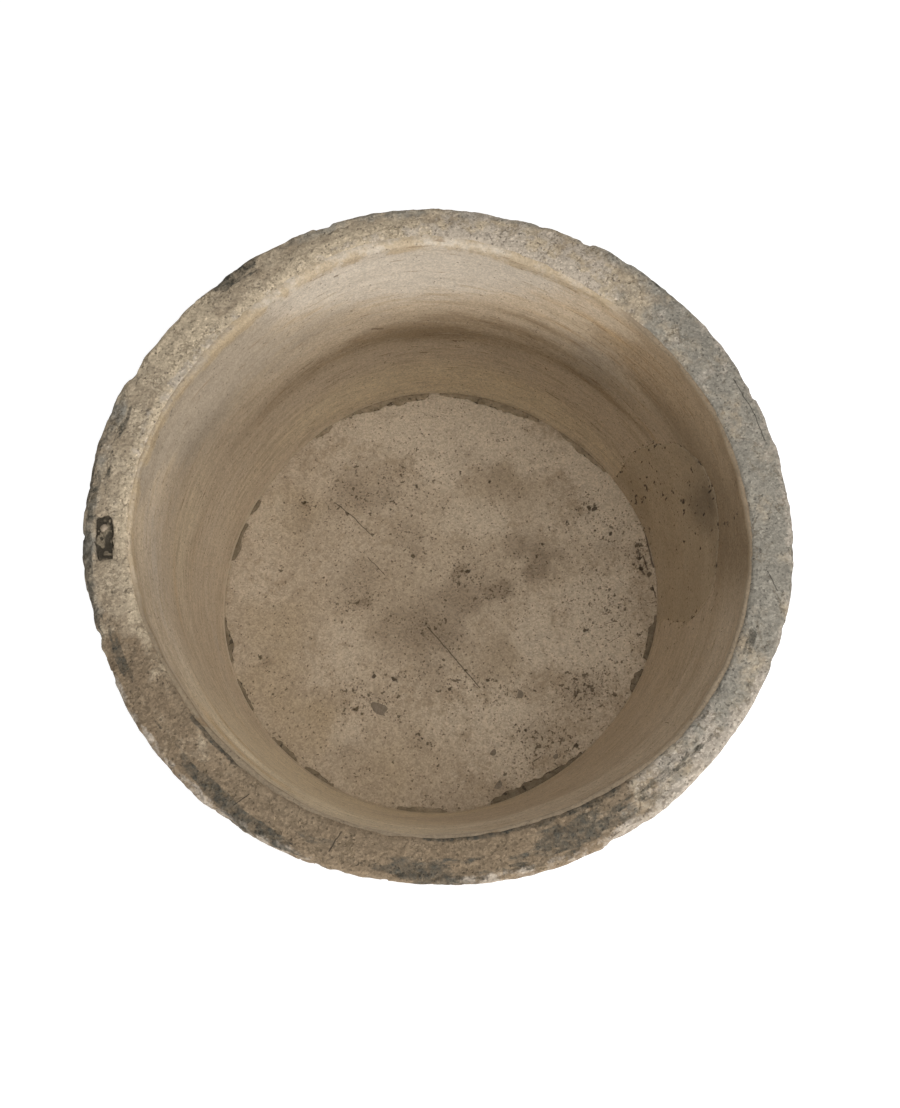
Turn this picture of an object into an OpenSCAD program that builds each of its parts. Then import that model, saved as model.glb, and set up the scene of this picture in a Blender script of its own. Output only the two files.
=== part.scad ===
// Round hewn-stone trough planter with a render-lined hollow.
// The block is one stone. Its hollow is lined with a render coat and floored with a screed.
// Later mortar mends the seam, the floor, the wall and a pocket in the rim.
// Millimetres. Z is up, and the origin is the centre of the underside.

/* [Stone block] */
// Widest diameter, at the shoulder just under the rim
outer_d = 700; // [600:10:900]
// Height from the underside to the top of the rim
height = 368; // [300:2:460]
// Diameter of the block at the ground, before its foot is rounded
base_d = 620; // [560:5:660]
// How far the outside bellies out between the foot and the shoulder
belly = 8; // [0:0.5:10]
// Rounding of the worn foot
foot_round = 14; // [4:1:25]
// Stone left under the hollow
base_t = 42; // [25:1:70]

/* [Rim] */
// Width of the bare stone rim, from the shoulder to the render
rim_w = 44; // [38:1:60]
// Width of the worn outer edge, measured inwards
arris_w = 14; // [4:1:16]
// Height of the worn outer edge, measured downwards
arris_h = 18; // [6:1:30]

/* [Render lining] */
// Thickness of the render coat on the wall
render_t = 14; // [8:1:18]
// Rounding of the render where it rolls over the inner edge of the rim
lip_round = 12; // [3:1:16]
// How far the finished wall bows outwards between floor and rim
wall_bow = 6; // [0:0.5:10]

/* [Floor] */
// Diameter of the finished floor, at its seam with the wall
seam_d = 530; // [440:5:550]
// Thickness of the floor screed
screed_t = 18; // [10:1:30]

/* [Wall repair] */
// Direction that the repair faces, turned from +X towards +Y
patch_azimuth = 12; // [0:1:40]
// Width of the repair at the floor, measured straight across
patch_w = 232; // [120:4:300]
// Height of the repair above the floor
patch_h = 252; // [120:4:270]
// How far its top leans sideways from its foot
patch_lean = -25; // [-40:1:40]
// Squareness of its arched outline: 2 is an ellipse, more is squarer
patch_squareness = 3; // [2:0.1:5]

/* [Seam mortar] */
// Depth of the mortar runs in the floor
run_depth = 6; // [3:0.5:9]
// Width of the widest run, of which the others are shares
run_w = 11; // [8:0.5:14]
// Width of a run at its two ends
run_end_w = 2.5; // [1.5:0.1:3.5]
// How much a run swells and narrows along its length, as a share of its width
run_swell = 0.2; // [0:0.05:0.3]

/* [Floor fills] */
// Depth of the fills let into the floor
fill_depth = 8; // [4:0.5:9]
// Squareness of a fill's outline: 2 is an ellipse, more is squarer
fill_squareness = 2.4; // [2:0.1:4]

/* [Rim pocket] */
// Direction of the pocket's middle, turned from +X towards +Y
pocket_azimuth = -176; // [-180:1:-140]
// Length of the pocket along the rim
pocket_l = 44; // [30:1:60]
// Width of the pocket across the rim
pocket_w = 16; // [14:1:18]
// Depth of the pocket
pocket_depth = 15; // [14:1:24]
// Bare stone between the shoulder and the pocket's outer side
pocket_inset = 17; // [16:1:22]
// How far the pocket's mortar has sunk below the rim
pocket_recess = 2; // [1:0.5:3]
// Diameter of the pebble bedded in that mortar
pebble_d = 11; // [8:0.5:12]
// How far the pebble sits from the pocket's middle, along the rim
pebble_offset = -10; // [-12:1:12]

/* [Hidden] */
$fn = 360;
outer_r = outer_d / 2;
base_r = base_d / 2;
seam_r = seam_d / 2;
floor_top = base_t + screed_t;
// The hollow of the bare stone is this wide at the rim
bore_top_r = outer_r - rim_w;
// The finished hollow is this wide at the rim
mouth_r = bore_top_r - render_t;
lip = min(lip_round, render_t - 1);
shoulder_z = height - arris_h;
pocket_r = outer_r - pocket_inset - pocket_w / 2;
pebble_r = pebble_d / 2;
// Solids that cut others reach this far past the faces they open
past = 20;
// Steps of the curved wall profiles, of the quarter rounds, and degrees between points of a run
wall_steps = 14;
round_steps = 8;
run_step = 1;
fill_points = 28;
patch_steps = 36;

// Chips broken out of the worn outer edge: direction, length along the edge, depth
CHIPS = [
    [153, 44, 8],
    [132, 34, 7],
    [63, 52, 7],
    [25, 46, 8],
    [14, 28, 6],
    [-60, 60, 7],
    [-124, 50, 8]
];

// Mortar runs in the seam: name, first and last direction, share of the widest run's width, and
// where along the run it is widest
RUNS = [
    ["mortar_back_left_long", 93, 118.5, 1, 0.3],
    ["mortar_back_left_short", 122, 128, 0.55, 0.5],
    ["mortar_back_right_long", 61, 90.5, 0.9, 0.35],
    ["mortar_right_back", 37, 54, 0.65, 0.4],
    ["mortar_right_long", -18.5, -6, 0.65, 0.5],
    ["mortar_right_short", -28, -21, 0.75, 0.4],
    ["mortar_front_right_long", -77, -49, 0.8, 0.25],
    ["mortar_front", -101, -88, 0.45, 0.5],
    ["mortar_front_left_short", -127, -118, 0.45, 0.5],
    ["mortar_front_left_long", -138.5, -129.5, 0.45, 0.5],
    ["mortar_left_front", -156.5, -147, 0.45, 0.4],
    ["mortar_left_long", -173.5, -161, 0.55, 0.6],
    ["mortar_left_back_long", 159.5, 171, 0.65, 0.7],
    ["mortar_left_back_short", 152, 157, 0.45, 0.5]
];

// Fills in the floor: name, direction, distance in from the seam, length, width, turn
FILLS = [
    ["floor_fill_large", -117, 105, 23, 14, 0],
    ["floor_fill_front", -72, 60, 10, 7, 20],
    ["floor_fill_right", -55.5, 23, 8, 6, 0],
    ["floor_fill_edge", -73.5, 22, 13, 8, 30],
    ["floor_fill_dark", -52.5, 107, 11, 8, 40]
];

// Radius of the outside at height z: a straight taper plus the belly
function outside_r(z) =
    let (t = z / shoulder_z)
    base_r + (outer_r - base_r) * t + belly * 4 * t * (1 - t);

// Radius of the finished hollow at height z: upright below the floor, bowed above it
function finished_r(z) =
    let (t = max(0, (z - floor_top) / (height - floor_top)))
    seam_r + (mouth_r - seam_r) * t + wall_bow * 4 * t * (1 - t);

// Radius of the hollow in the bare stone, one render coat wider than the finished one
function bore_r(z) = finished_r(z) + render_t;

// Quarter of an ellipse about a centre, from one angle to another
function quarter(centre, rx, rz, from, to) = [
    for (i = [0:round_steps])
        let (a = from + (to - from) * i / round_steps)
        centre + [rx * cos(a), rz * sin(a)]
];

// Heights from low to high in equal steps
function heights(low, high) = [for (i = [0:wall_steps]) low + (high - low) * i / wall_steps];

// The same points in the opposite order
function reversed(points) = [for (i = [len(points) - 1:-1:0]) points[i]];

// Superellipse point at angle a: half widths rx and ry, squareness n
function squared(a, rx, ry, n) = [
    rx * sign(cos(a)) * pow(abs(cos(a)), 2 / n),
    ry * sign(sin(a)) * pow(abs(sin(a)), 2 / n)
];

// Outline of the bore from the bottom of the hollow to the rim
function bore_line() = concat(
    [[bore_r(base_t), base_t]],
    [for (z = heights(floor_top, height)) [bore_r(z), z]]
);

// Outline of the finished wall from the rounded lip down to the stone
function finished_line() = concat(
    quarter([finished_r(height - lip) + lip, height - lip], lip, lip, 90, 180),
    [for (z = heights(height - lip, floor_top)) if (z < height - lip) [finished_r(z), z]],
    [[seam_r, base_t]]
);

// Outline of the outside from the ground to the inner edge of the worn arris
function outside_line() = concat(
    quarter([outside_r(foot_round) - foot_round, foot_round], foot_round, foot_round, -90, 0),
    [for (z = heights(foot_round, shoulder_z)) if (z > foot_round && z < shoulder_z) [outside_r(z), z]],
    quarter([outer_r - arris_w, shoulder_z], arris_w, arris_h, 0, 90)
);

// Faces a shape drawn in the plane outwards, so that its y runs up and it is extruded radially
module face_out(azimuth, from_r) {
    rotate([0, 0, azimuth]) translate([from_r, 0, 0]) rotate([90, 0, 90]) children();
}

// A ball that breaks a chip of a given length and depth out of the worn outer edge
module chip(c) {
    ball_r = (c[1] * c[1] / 4 + c[2] * c[2]) / (2 * c[2]);
    rotate([0, 0, c[0]])
        translate([outer_r - c[2] + ball_r, 0, height - arris_h / 3])
            sphere(r = ball_r);
}

module pocket_box(h) {
    rotate([0, 0, pocket_azimuth])
        translate([pocket_r - pocket_w / 2, -pocket_l / 2, height - pocket_depth])
            cube([pocket_w, pocket_l, h]);
}

module pebble_ball() {
    rotate([0, 0, pocket_azimuth])
        translate([pocket_r, pebble_offset, height - pocket_recess / 2 - pebble_r])
            sphere(r = pebble_r);
}

// The solid of render that fills the gap between the bore and the finished wall
module render_ring() {
    rotate_extrude() polygon(concat(bore_line(), finished_line()));
}

// The arched outline of the wall repair, which springs from below the hollow of the stone
module patch_prism() {
    spring_z = base_t - past;
    rise = floor_top + patch_h - spring_z;
    face_out(patch_azimuth, 0)
        linear_extrude(outer_r)
            polygon([
                for (i = [0:patch_steps])
                    let (p = squared(180 * i / patch_steps, patch_w / 2, rise, patch_squareness))
                    [p[0] + patch_lean * p[1] / rise, spring_z + p[1]]
            ]);
}

// Width of a run at a share u of its length: narrow ends, one fat stretch and three swells
function run_width(run, u) =
    let (skew = ln(0.5) / ln(run[4]))
    run_end_w + (run[3] * run_w - run_end_w) * sin(180 * pow(u, skew)) * (1 - run_swell * sin(540 * u) ^ 2);

// The space of one mortar run, cut past the seam and above the floor
module run_space(run) {
    steps = ceil((run[2] - run[1]) / run_step);
    inner = [
        for (i = [0:steps])
            let (a = run[1] + (run[2] - run[1]) * i / steps)
            (seam_r - run_width(run, i / steps)) * [cos(a), sin(a)]
    ];
    outer = [
        for (i = [steps:-1:0])
            let (a = run[1] + (run[2] - run[1]) * i / steps)
            (seam_r + past) * [cos(a), sin(a)]
    ];
    translate([0, 0, floor_top - run_depth])
        linear_extrude(run_depth + past)
            polygon(concat(inner, outer));
}

// The space of one floor fill, cut above the floor
module fill_space(fill) {
    rotate([0, 0, fill[1]])
        translate([seam_r - fill[2], 0, floor_top - fill_depth])
            rotate([0, 0, fill[5]])
                linear_extrude(fill_depth + past)
                    polygon([
                        for (i = [0:fill_points - 1])
                            squared(360 * i / fill_points, fill[4] / 2, fill[3] / 2, fill_squareness)
                    ]);
}

module screed_disc() {
    translate([0, 0, base_t]) cylinder(r = seam_r, h = screed_t);
}

module stone_shell() {
    color("#8f8779")
        difference() {
            rotate_extrude()
                polygon(concat(
                    [[0, 0]],
                    outside_line(),
                    reversed(bore_line()),
                    [[0, base_t]]
                ));
            for (c = CHIPS) chip(c);
            pocket_box(pocket_depth + past);
        }
}

module wall_render() {
    color("#a4957d")
        difference() {
            render_ring();
            patch_prism();
        }
}

module wall_patch() {
    color("#7f7261")
        intersection() {
            render_ring();
            patch_prism();
        }
}

module floor_screed() {
    color("#a1917a")
        difference() {
            screed_disc();
            for (run = RUNS) run_space(run);
            for (fill = FILLS) fill_space(fill);
        }
}

module seam_mortar(run) {
    color("#6f695f")
        intersection() {
            screed_disc();
            run_space(run);
        }
}

module floor_fill(fill) {
    color("#746b5f")
        intersection() {
            screed_disc();
            fill_space(fill);
        }
}

module rim_pocket_fill() {
    color("#5d574c")
        difference() {
            pocket_box(pocket_depth - pocket_recess);
            pebble_ball();
        }
}

module rim_pocket_pebble() {
    color("#b3a691") pebble_ball();
}

stone_shell();
wall_render();
wall_patch();
floor_screed();
for (run = RUNS) seam_mortar(run);
for (fill = FILLS) floor_fill(fill);
rim_pocket_fill();
rim_pocket_pebble();
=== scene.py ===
# %% [markdown]
# # A hewn stone planter, seen from above
# The object is one block of limestone, hollowed out by hand, lined with lime render and floored
# with a screed. Later mortar mends the seam, the floor, a stretch of wall and a pocket in the rim.
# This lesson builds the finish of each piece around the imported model. Nothing is painted from a
# picture: every shape and every colour is worked out from sizes, formulas and a few chosen places.

# %% Load the frame
import itertools
import math
import bpy
import numpy as np
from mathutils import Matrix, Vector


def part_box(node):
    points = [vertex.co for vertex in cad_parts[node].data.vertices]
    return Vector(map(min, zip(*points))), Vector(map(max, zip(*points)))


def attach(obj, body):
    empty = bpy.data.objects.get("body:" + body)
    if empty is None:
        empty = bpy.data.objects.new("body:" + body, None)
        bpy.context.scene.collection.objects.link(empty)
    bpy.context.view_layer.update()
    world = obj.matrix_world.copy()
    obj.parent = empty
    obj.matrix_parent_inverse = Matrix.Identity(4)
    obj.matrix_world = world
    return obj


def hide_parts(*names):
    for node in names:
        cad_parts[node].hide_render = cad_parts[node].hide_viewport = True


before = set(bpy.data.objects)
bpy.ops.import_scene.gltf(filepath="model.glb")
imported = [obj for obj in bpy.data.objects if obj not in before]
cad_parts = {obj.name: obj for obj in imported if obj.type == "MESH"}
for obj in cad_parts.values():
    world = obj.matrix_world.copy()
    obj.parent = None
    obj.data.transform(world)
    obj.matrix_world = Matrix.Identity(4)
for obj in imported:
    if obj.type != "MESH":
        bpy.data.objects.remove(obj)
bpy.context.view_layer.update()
print("pieces of the packed model:", len(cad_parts))

# %% [markdown]
# ## Sizes
# Everything is in metres, so a size in millimetres is multiplied by MM. The large sizes are read
# from the frame. The others are the ones the stone was modelled with, and they shape its curves.

# %% Driving sizes
MM = 0.001
_, STONE_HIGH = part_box("stone_shell")
SCREED_LOW, SCREED_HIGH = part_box("floor_screed")
OUTER_R = STONE_HIGH.x
HEIGHT = STONE_HIGH.z
FLOOR_TOP = SCREED_HIGH.z
BASE_T = SCREED_LOW.z
SEAM_R = SCREED_HIGH.y

BASE_R = 310 * MM
BELLY = 8 * MM
FOOT_ROUND = 14 * MM
RIM_W = 44 * MM
ARRIS_H = 18 * MM
RENDER_T = 14 * MM
LIP = 12 * MM
WALL_BOW = 6 * MM
BORE_TOP_R = OUTER_R - RIM_W
MOUTH_R = BORE_TOP_R - RENDER_T
SHOULDER_Z = HEIGHT - ARRIS_H
# The rim's worn edges: the outer one, which is sharper than the modelled rounding, and the inner
EDGE_W = 8 * MM
EDGE_H = 9 * MM
INNER_W = 4 * MM
INNER_H = 7 * MM
print(f"outside {2 * OUTER_R:.3f} m wide, {HEIGHT:.3f} m high, hollow {HEIGHT - FLOOR_TOP:.3f} m deep")

# %% [markdown]
# ## Directions and noise
# A direction is an angle in degrees, turned from +X (the right of the picture) towards +Y (its
# top). A stone is never even, so most shapes below add noise: random numbers on a lattice, eased
# into each other. The numbers come from mixing whole numbers, so each run gives the same stone.

# %% Soft steps and directions
COLUMNS = 800
AZ = np.linspace(-180, 180, COLUMNS, endpoint=False)


def smooth(t):
    """Eases from 0 to 1 with flat ends: 3t^2 - 2t^3, held at 0 and 1 outside."""
    t = np.clip(t, 0, 1)
    return t * t * (3 - 2 * t)


def turned(az, centre):
    """Signed angle from one direction to another, from -180 to 180."""
    return (az - centre + 180) % 360 - 180


def near(az, centre, reach):
    """1 in one direction, easing to 0 at `reach` degrees on either side of it."""
    return smooth(1 - np.abs(turned(az, centre)) / reach)


def span(az, first, last, soft=6):
    """1 from the first direction to the last, easing to 0 over `soft` degrees at both ends."""
    off = np.abs(turned(az, (first + last) / 2))
    return smooth(((last - first) / 2 - off) / soft + 0.5)


def lobes(az, terms):
    """Sum of waves round the circle: amplitude in mm times cos(count * direction - phase)."""
    return sum(a * MM * np.cos(np.radians(k * az - phase)) for k, a, phase in terms)


def polar(radius, az, z):
    """Points at a radius, a direction and a height, as one array with x, y, z last."""
    radius, az, z = np.broadcast_arrays(radius, np.radians(az), z)
    return np.stack([radius * np.cos(az), radius * np.sin(az), z], axis=-1)


def level(x, y):
    """Points at height zero, as one array with x, y, z last."""
    return np.stack([x, y, np.zeros(x.shape)], -1)


def stacked(rows):
    """Rows of radius and height as two arrays [row, column]."""
    return [np.stack([np.broadcast_to(row[k], COLUMNS) for row in rows]) for k in (0, 1)]


print("directions round the stone:", COLUMNS)


# %% Noise
def lattice(cell, seed):
    """A fixed random number from -1 to 1 for each whole-numbered cell, by mixing its indices."""
    mixed = cell[..., 0] * 73856093 ^ cell[..., 1] * 19349663
    mixed = mixed ^ cell[..., 2] * 83492791 ^ seed * 50331653
    mixed = (mixed ^ mixed >> 13) * 1274126177
    mixed = (mixed ^ mixed >> 15) * 2147483629
    return ((mixed ^ mixed >> 16) & 65535) / 32767.5 - 1


def noise(points, size, seed):
    """Value noise: random numbers `size` apart in space, eased into each other. About -1 to 1."""
    place = points / size
    cell = np.floor(place).astype(np.int64)
    part = smooth(place - cell)
    total = np.zeros(place.shape[:-1])
    for corner in itertools.product((0, 1), repeat=3):
        weight = np.prod(np.where(corner, part, 1 - part), axis=-1)
        total += weight * lattice(cell + np.array(corner), seed)
    return total


def fractal(points, size, octaves, seed):
    """Noise on noise: each layer has half the size and a bit over half the height of the last."""
    return sum(0.55**k * noise(points, size / 2**k, seed + k) for k in range(octaves))


def scallops(points, size, seed):
    """Distance to the nearest of the points scattered one to a cell: shallow bowls with ridges."""
    place = points / size
    cell = np.floor(place).astype(np.int64)
    best = np.full(place.shape[:-1], 4.0)
    for step in itertools.product((-1, 0, 1), repeat=3):
        there = cell + np.array(step)
        jitter = np.stack([lattice(there, seed + k) for k in range(3)], axis=-1)
        best = np.minimum(best, np.linalg.norm(there + 0.5 + 0.45 * jitter - place, axis=-1))
    return best


print("noise at the origin:", round(float(noise(np.zeros(3), 1.0, 1)), 3))

# %% [markdown]
# ## From a grid of points to a mesh
# Each piece is a grid: columns that go round and meet, and rows that follow a profile. Two poles
# can close the first and last row, or the last row can join the first, as on a ring. The faces
# are index arithmetic on whole arrays. A closed mesh whose enclosed volume comes out negative is
# inside out, so its faces are turned round.


# %% Grid to mesh
def add_piece(name, grid, poles=None, **values):
    """Makes a closed, smooth mesh of grid [row, column, xyz]; `values` become point attributes."""
    rows, columns = grid.shape[:2]
    index = np.arange(rows * columns).reshape(rows, columns)
    lower = index if poles is None else index[:-1]
    upper = np.roll(index, -1, axis=0)[: len(lower)]
    quads = np.stack([lower, np.roll(lower, -1, 1), np.roll(upper, -1, 1), upper], -1).reshape(-1, 4)
    points = grid.reshape(-1, 3)
    fans = np.zeros((0, 3), int)
    if poles is not None:
        points = np.concatenate([points, poles])
        first = np.stack([np.roll(index[0], -1), index[0], np.full(columns, len(points) - 2)], -1)
        last = np.stack([index[-1], np.roll(index[-1], -1), np.full(columns, len(points) - 1)], -1)
        fans = np.concatenate([first, last])
    triangles = np.concatenate([quads[:, [0, 1, 2]], quads[:, [0, 2, 3]], fans])
    a, b, c = (points[triangles[:, k]] for k in range(3))
    volume = np.einsum("ij,ij->", a, np.cross(b, c)) / 6
    if volume < 0:
        quads, fans = quads[:, ::-1], fans[:, ::-1]
    mesh = bpy.data.meshes.new(name)
    counts = np.concatenate([np.full(len(quads), 4), np.full(len(fans), 3)])
    mesh.vertices.add(len(points))
    mesh.vertices.foreach_set("co", points.astype(np.float32).ravel())
    mesh.loops.add(int(counts.sum()))
    mesh.loops.foreach_set("vertex_index", np.concatenate([quads.ravel(), fans.ravel()]).astype(np.int32))
    mesh.polygons.add(len(counts))
    mesh.polygons.foreach_set("loop_start", (np.cumsum(counts) - counts).astype(np.int32))
    mesh.update(calc_edges=True)
    mesh.shade_smooth()
    for key, value in values.items():
        flat = np.broadcast_to(value, (rows, columns)).ravel()
        ends = [] if poles is None else [flat[:columns].mean(), flat[-columns:].mean()]
        attribute = mesh.attributes.new(key, "FLOAT", "POINT")
        attribute.data.foreach_set("value", np.concatenate([flat, ends]).astype(np.float32))
    piece = bpy.data.objects.new(name, mesh)
    bpy.context.scene.collection.objects.link(piece)
    print(f"{name}: {len(triangles)} triangles, {abs(volume) * 1000:.3f} litres")
    return piece


def add_capped(name, grid, **values):
    """A piece whose first and last row each shrink to one pole, their middle."""
    between = {key: value[1:-1] for key, value in values.items()}
    return add_piece(name, grid[1:-1], poles=grid[[0, -1]].mean(axis=1), **between)


def install(piece, material, slot, *nodes):
    """Gives a piece its finish and ties it to the frame: it rides the one body of the object."""
    piece.data.materials.append(material)
    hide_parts(*nodes)
    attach(piece, "root")


# %% [markdown]
# ## Node helpers
# One small function adds a shader node, sets it up, feeds its inputs and hands back an output, so
# a material below reads as a list of patterns. Colours are written as sRGB hex values, as a paint
# shop would give them, and turned to linear light once.


# %% Colour and wiring
def colour(code):
    """Linear RGBA of an sRGB hex colour: the sRGB curve undone channel by channel."""
    channels = [int(code[k : k + 2], 16) / 255 for k in (1, 3, 5)]
    return tuple(c / 12.92 if c <= 0.04045 else ((c + 0.055) / 1.055) ** 2.4 for c in channels) + (1.0,)


def wire(tree, kind, sockets=None, out=0, **settings):
    """Adds one shader node with its settings, links or sets its inputs, and returns one output."""
    made = tree.nodes.new("ShaderNode" + kind)
    for name, value in settings.items():
        setattr(made, name, value)
    for name, value in (sockets or {}).items():
        if isinstance(value, bpy.types.NodeSocket):
            tree.links.new(value, made.inputs[name])
        else:
            made.inputs[name].default_value = value
    return made.outputs[out]


def summed(tree, start, *products):
    """start + first * second + ..., for each pair (first, second) of the products."""
    for first, second in products:
        start = wire(tree, "Math", {0: first, 1: second, 2: start}, operation="MULTIPLY_ADD")
    return start


def strongest(tree, *values):
    """The largest of several values."""
    most = values[0]
    for value in values[1:]:
        most = wire(tree, "Math", {0: value, 1: most}, operation="MAXIMUM")
    return most


def paint(tree, base, share, strength, code):
    """Lays a colour over the base wherever a share says so, at a strength."""
    share = summed(tree, 0, (share, strength))
    return wire(tree, "Mix", {0: share, 6: base, 7: colour(code)}, out=2, data_type="RGBA")


def toned(tree, base, swing, *products):
    """Darkens and lightens a colour by `swing` as a sum of products goes from -1 to 1."""
    value = summed(tree, 0, *products)
    scale = wire(
        tree, "MapRange",
        {"Value": value, "From Min": -1.0, "From Max": 1.0, "To Min": 1 - swing, "To Max": 1 + swing},
    )
    return wire(tree, "VectorMath", {0: base, "Scale": scale}, operation="SCALE")


def patch(tree, soft, start, *products, middle=0.5):
    """A patch with a soft edge: 0 where the sum lies below the middle, 1 where it lies above."""
    value = summed(tree, start, *products)
    return wire(
        tree, "MapRange", {"Value": value, "From Min": middle - soft, "From Max": middle + soft},
        interpolation_type="SMOOTHSTEP",
    )


# %% Clouds
def clouds(tree, place, size, seed, detail=3.0, rough=0.55):
    """Soft blotches about `size` metres across, from about -1 to 1."""
    raw = wire(
        tree, "TexNoise",
        {"Vector": place, "W": seed, "Scale": 0.5 / size, "Detail": detail, "Roughness": rough},
        noise_dimensions="4D",
    )
    return wire(
        tree, "MapRange",
        {"Value": raw, "From Min": 0.28, "From Max": 0.72, "To Min": -1.0, "To Max": 1.0},
    )


# %% Lines
# What a pattern sees of a place: all of it, or where it lies on the plan, whatever its height
IN_SPACE = (1, 1, 1)
ON_PLAN = (1, 1, 0)


def hairline(tree, place, begin, end, width):
    """A fine line between two points in metres: 1 on it, 0 from `width` away.

    The nearest point of the line is begin + t * (end - begin), with t held between 0 and 1."""
    along = [float(e - b) for b, e in zip(begin, end)]
    length = math.hypot(*along)
    step = wire(tree, "VectorMath", {0: place, 1: [float(b) for b in begin]}, operation="SUBTRACT")
    dot = wire(tree, "VectorMath", {0: step, 1: along}, out="Value", operation="DOT_PRODUCT")
    t = wire(tree, "Math", {0: dot, 1: 1 / length**2}, operation="MULTIPLY", use_clamp=True)
    foot = wire(tree, "VectorMath", {0: along, "Scale": t}, operation="SCALE")
    away = wire(tree, "VectorMath", {0: step, 1: foot}, out="Value", operation="DISTANCE")
    return wire(tree, "MapRange", {"Value": away, "From Min": width, "From Max": 0.4 * width})


def scratches(tree, place, size, reach, lines, seen=IN_SPACE):
    """The strongest of several hairlines, each given as begin, end and width, on shaken places."""
    place = wire(tree, "VectorMath", {0: shaken(tree, place, size, reach), 1: seen}, operation="MULTIPLY")
    return strongest(tree, 0.0, *(hairline(tree, place, *line) for line in lines))


def shaken(tree, place, size, reach):
    """Moves places about by up to `reach` in waves of `size`, so that what is drawn there wanders."""
    wander = wire(tree, "TexNoise", {"Vector": place, "Scale": 0.5 / size, "Detail": 2.0}, out="Color")
    centred = wire(tree, "VectorMath", {0: wander, 1: (0.5, 0.5, 0.5)}, operation="SUBTRACT")
    step = wire(tree, "VectorMath", {0: centred, "Scale": 2 * reach}, operation="SCALE")
    return wire(tree, "VectorMath", {0: step, 1: place}, operation="ADD")


# %% Grains, spots and broken edges
def grains(tree, place, size):
    """Crystals or sand about `size` across, each with two random numbers: -1 to 1, and 0 to 1."""
    moved = wire(tree, "VectorMath", {0: place, 1: (1, 0, 0)}, operation="ADD")
    cells = wire(tree, "TexVoronoi", {"Vector": moved, "Scale": 1 / size}, out="Color")
    red, green = (wire(tree, "SeparateColor", {"Color": cells}, out=part) for part in ("Red", "Green"))
    return wire(tree, "MapRange", {"Value": red, "To Min": -1.0, "To Max": 1.0}), green


def spots(tree, place, size, seed, start, *products):
    """Ragged spots a little under `size` across: fine noise cut off high. The sum lowers the cut."""
    raw = wire(
        tree, "TexNoise", {"Vector": place, "W": seed, "Scale": 0.5 / size, "Detail": 1.5, "Roughness": 0.6},
        noise_dimensions="4D",
    )
    value = summed(tree, raw, (summed(tree, start, *products), 0.2))
    return wire(tree, "MapRange", {"Value": value, "From Min": 0.66, "From Max": 0.72})


def broken(tree, place, share, size, seed, ragged=0.6, soft=0.14):
    """A zone as a weathered patch: its share plus noise of every size, cut at one half. Where the
    share is nearly nothing the noise fades too, so that a patch stays in its own place."""
    rough = clouds(tree, place, size, seed, 7.0, 0.66)
    held = wire(tree, "MapRange", {"Value": share, "From Max": 0.3})
    return patch(tree, soft, share, (summed(tree, 0, (rough, held)), ragged))


# %% Places along the rim
def along_rim(tree, place, stretch):
    """Places squeezed round the rim, so that a pattern drawn there is long along the rim: the
    direction on a circle of OUTER_R / stretch, and the distance inwards and down as the height."""
    flat = wire(tree, "VectorMath", {0: place, 1: ON_PLAN}, operation="MULTIPLY")
    facing = wire(tree, "VectorMath", {0: flat}, operation="NORMALIZE")
    ring = wire(tree, "VectorMath", {0: facing, "Scale": OUTER_R / stretch}, operation="SCALE")
    radius = wire(tree, "VectorMath", {0: flat}, out="Value", operation="LENGTH")
    height = wire(tree, "SeparateXYZ", {0: place}, out="Z")
    third = wire(tree, "CombineXYZ", {"Z": wire(tree, "Math", {0: radius, 1: height}, operation="SUBTRACT")})
    return wire(tree, "VectorMath", {0: ring, 1: third}, operation="ADD")


# %% Start and end of a material
MINERAL_IOR = 1.5
MINERAL_SHEEN = 0.3


def start(name, *zones):
    """A new material, its empty node tree, the piece's own coordinates in metres, and the zones:
    the values worked out for each point of the mesh, by name."""
    material = bpy.data.materials.new(name)
    material.use_nodes = True
    tree = material.node_tree
    tree.nodes.clear()
    values = {zone: wire(tree, "Attribute", out="Fac", attribute_name=zone) for zone in zones}
    return material, tree, wire(tree, "TexCoord", out="Object"), values


def close(material, base, rise, rough, *products):
    """Ends a material: one surface shader whose relief is `rise` metres for a height of 1. The
    height is one half plus the products."""
    tree = material.node_tree
    height = summed(tree, 0.5, *products)
    normal = wire(tree, "Bump", {"Height": height, "Distance": rise, "Strength": 1.0})
    shader = wire(
        tree, "BsdfPrincipled",
        {"Base Color": base, "Roughness": rough, "IOR": MINERAL_IOR, "Normal": normal,
         "Specular IOR Level": MINERAL_SHEEN},
    )
    tree.links.new(shader, tree.nodes.new("ShaderNodeOutputMaterial").inputs["Surface"])
    return material


print("linear value of sRGB #808080:", round(colour("#808080")[0], 4))

# %% [markdown]
# ## Camera
# The picture was taken from the front and well above: the lens is about 1.1 m over the rim, and
# looks down at 74 degrees. Its place and angle were worked out from the three ellipses of the
# vessel: the outline, the inner edge of the rim and the seam of the floor. The render is taller
# than wide, so the 36 mm of the sensor lie along its height.

# %% Camera
FRAME_H_PX = 1108
FOCAL_PX = 1160
SENSOR = 36.0
LENS_AT = (0.0120, -0.3516, 1.4437)
LOOKS_DOWN = 73.83
camera_data = bpy.data.cameras.new("camera")
camera_data.sensor_width = SENSOR
camera_data.lens = FOCAL_PX / FRAME_H_PX * SENSOR
camera_data.clip_start = 0.05
camera = bpy.data.objects.new("camera", camera_data)
camera.location = LENS_AT
camera.rotation_euler = (math.radians(90 - LOOKS_DOWN), 0, 0)
bpy.context.scene.collection.objects.link(camera)
bpy.context.scene.camera = camera
bpy.context.scene.view_settings.view_transform = "Standard"
print(f"lens {camera_data.lens:.2f} mm")
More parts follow.
